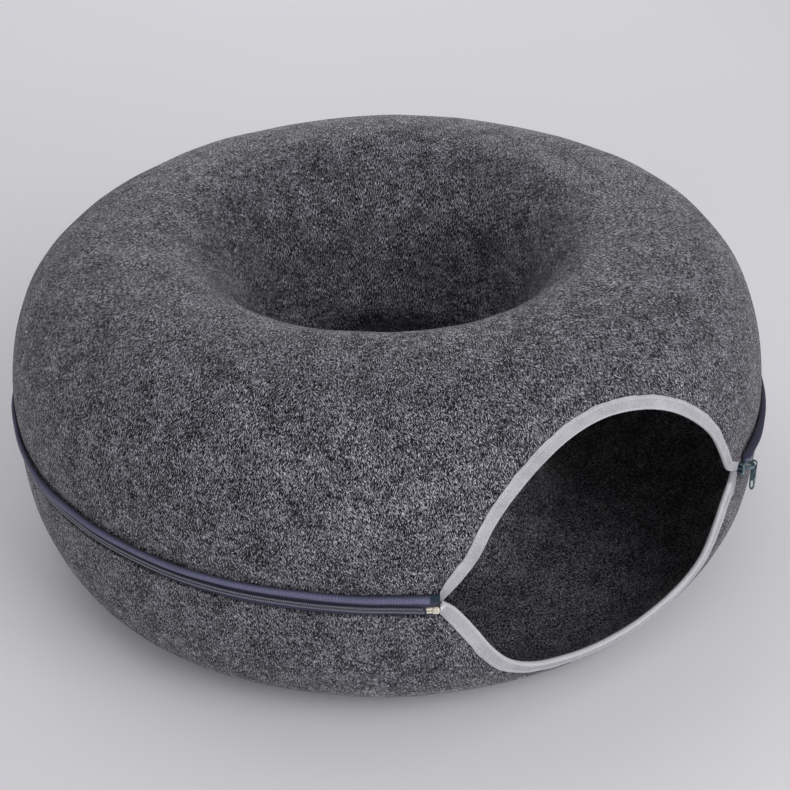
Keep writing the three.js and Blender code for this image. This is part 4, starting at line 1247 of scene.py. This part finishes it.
def make_camera():
    eye = from_middle(CAMERA_AZIMUTH, CAMERA_RISE, CAMERA_DISTANCE)
    level = (ring_middle - eye).to_track_quat("-Z", "Y")
    aim = ring_middle + level @ Vector((AIM_RIGHT, -AIM_DOWN, 0))
    turn = (aim - eye).to_track_quat("-Z", "Y") @ Quaternion((0, 0, 1), CAMERA_ROLL)
    data = bpy.data.cameras.new("camera")
    data.lens, data.sensor_width = LENS, FILM_WIDTH
    data.clip_start, data.clip_end = 0.01, 50
    camera = bpy.data.objects.new("camera", data)
    camera.location, camera.rotation_mode, camera.rotation_quaternion = eye, "QUATERNION", turn
    bpy.context.scene.collection.objects.link(camera)
    bpy.context.scene.camera = camera


# Each light's place in degrees to the camera's right and up, and its power in watts.
LIGHTS = [
    ("right", 45, 35, 25.1), ("right_low", 45, 12, 12.9), ("front_low", 0, 12, 11.9),
    ("back_low", 180, 12, 12.6), ("left_high", 225, 60, 7.9),
]
LIGHT_DISTANCE, LIGHT_SIZE = 2.6, 1.6
LIGHT_TINT = (1.01, 1.0, 1.045)
WORLD_STRENGTH = 0.53
FLOOR_SIDE, FLOOR_HEIGHT = 6.0, -0.4 * MM  # the floor's half side, and a hair's room under the ring


def soft_light(name, azimuth, rise, power):
    """A square soft light that faces the ring."""
    data = bpy.data.lights.new(name, "AREA")
    data.size, data.energy, data.color = LIGHT_SIZE, power, LIGHT_TINT
    light = bpy.data.objects.new(name, data)
    light.location = from_middle(
        CAMERA_AZIMUTH + math.radians(azimuth), math.radians(rise), LIGHT_DISTANCE)
    light.rotation_mode = "QUATERNION"
    light.rotation_quaternion = (ring_middle - light.location).to_track_quat("-Z", "Y")
    bpy.context.scene.collection.objects.link(light)


def make_floor():
    f = Finish("studio_floor", Roughness=0.85, Specular_IOR_Level=0.2)
    clouds = f.noise(f.place(), 1.2, 2.0, 0.5)
    f.colour(f.mix(clouds.rises(0.3, 0.7), (0.698, 0.693, 0.702), (0.716, 0.711, 0.720)))
    corners = np.array([(-1, -1, 0), (1, -1, 0), (1, 1, 0), (-1, 1, 0)]) * FLOOR_SIDE
    floor = new_piece("floor", corners + (0, 0, FLOOR_HEIGHT), [np.array([[0, 1, 2, 3]])], f.material,
                      smooth=False)


make_camera()
make_floor()
for light in LIGHTS:
    soft_light(*light)
world = bpy.data.worlds.new("studio")
world.use_nodes = True
background = world.node_tree.nodes["Background"]
background.inputs["Color"].default_value = (*LIGHT_TINT, 1)
background.inputs["Strength"].default_value = WORLD_STRENGTH
bpy.context.scene.world = world
bpy.context.scene.view_settings.view_transform = "Standard"
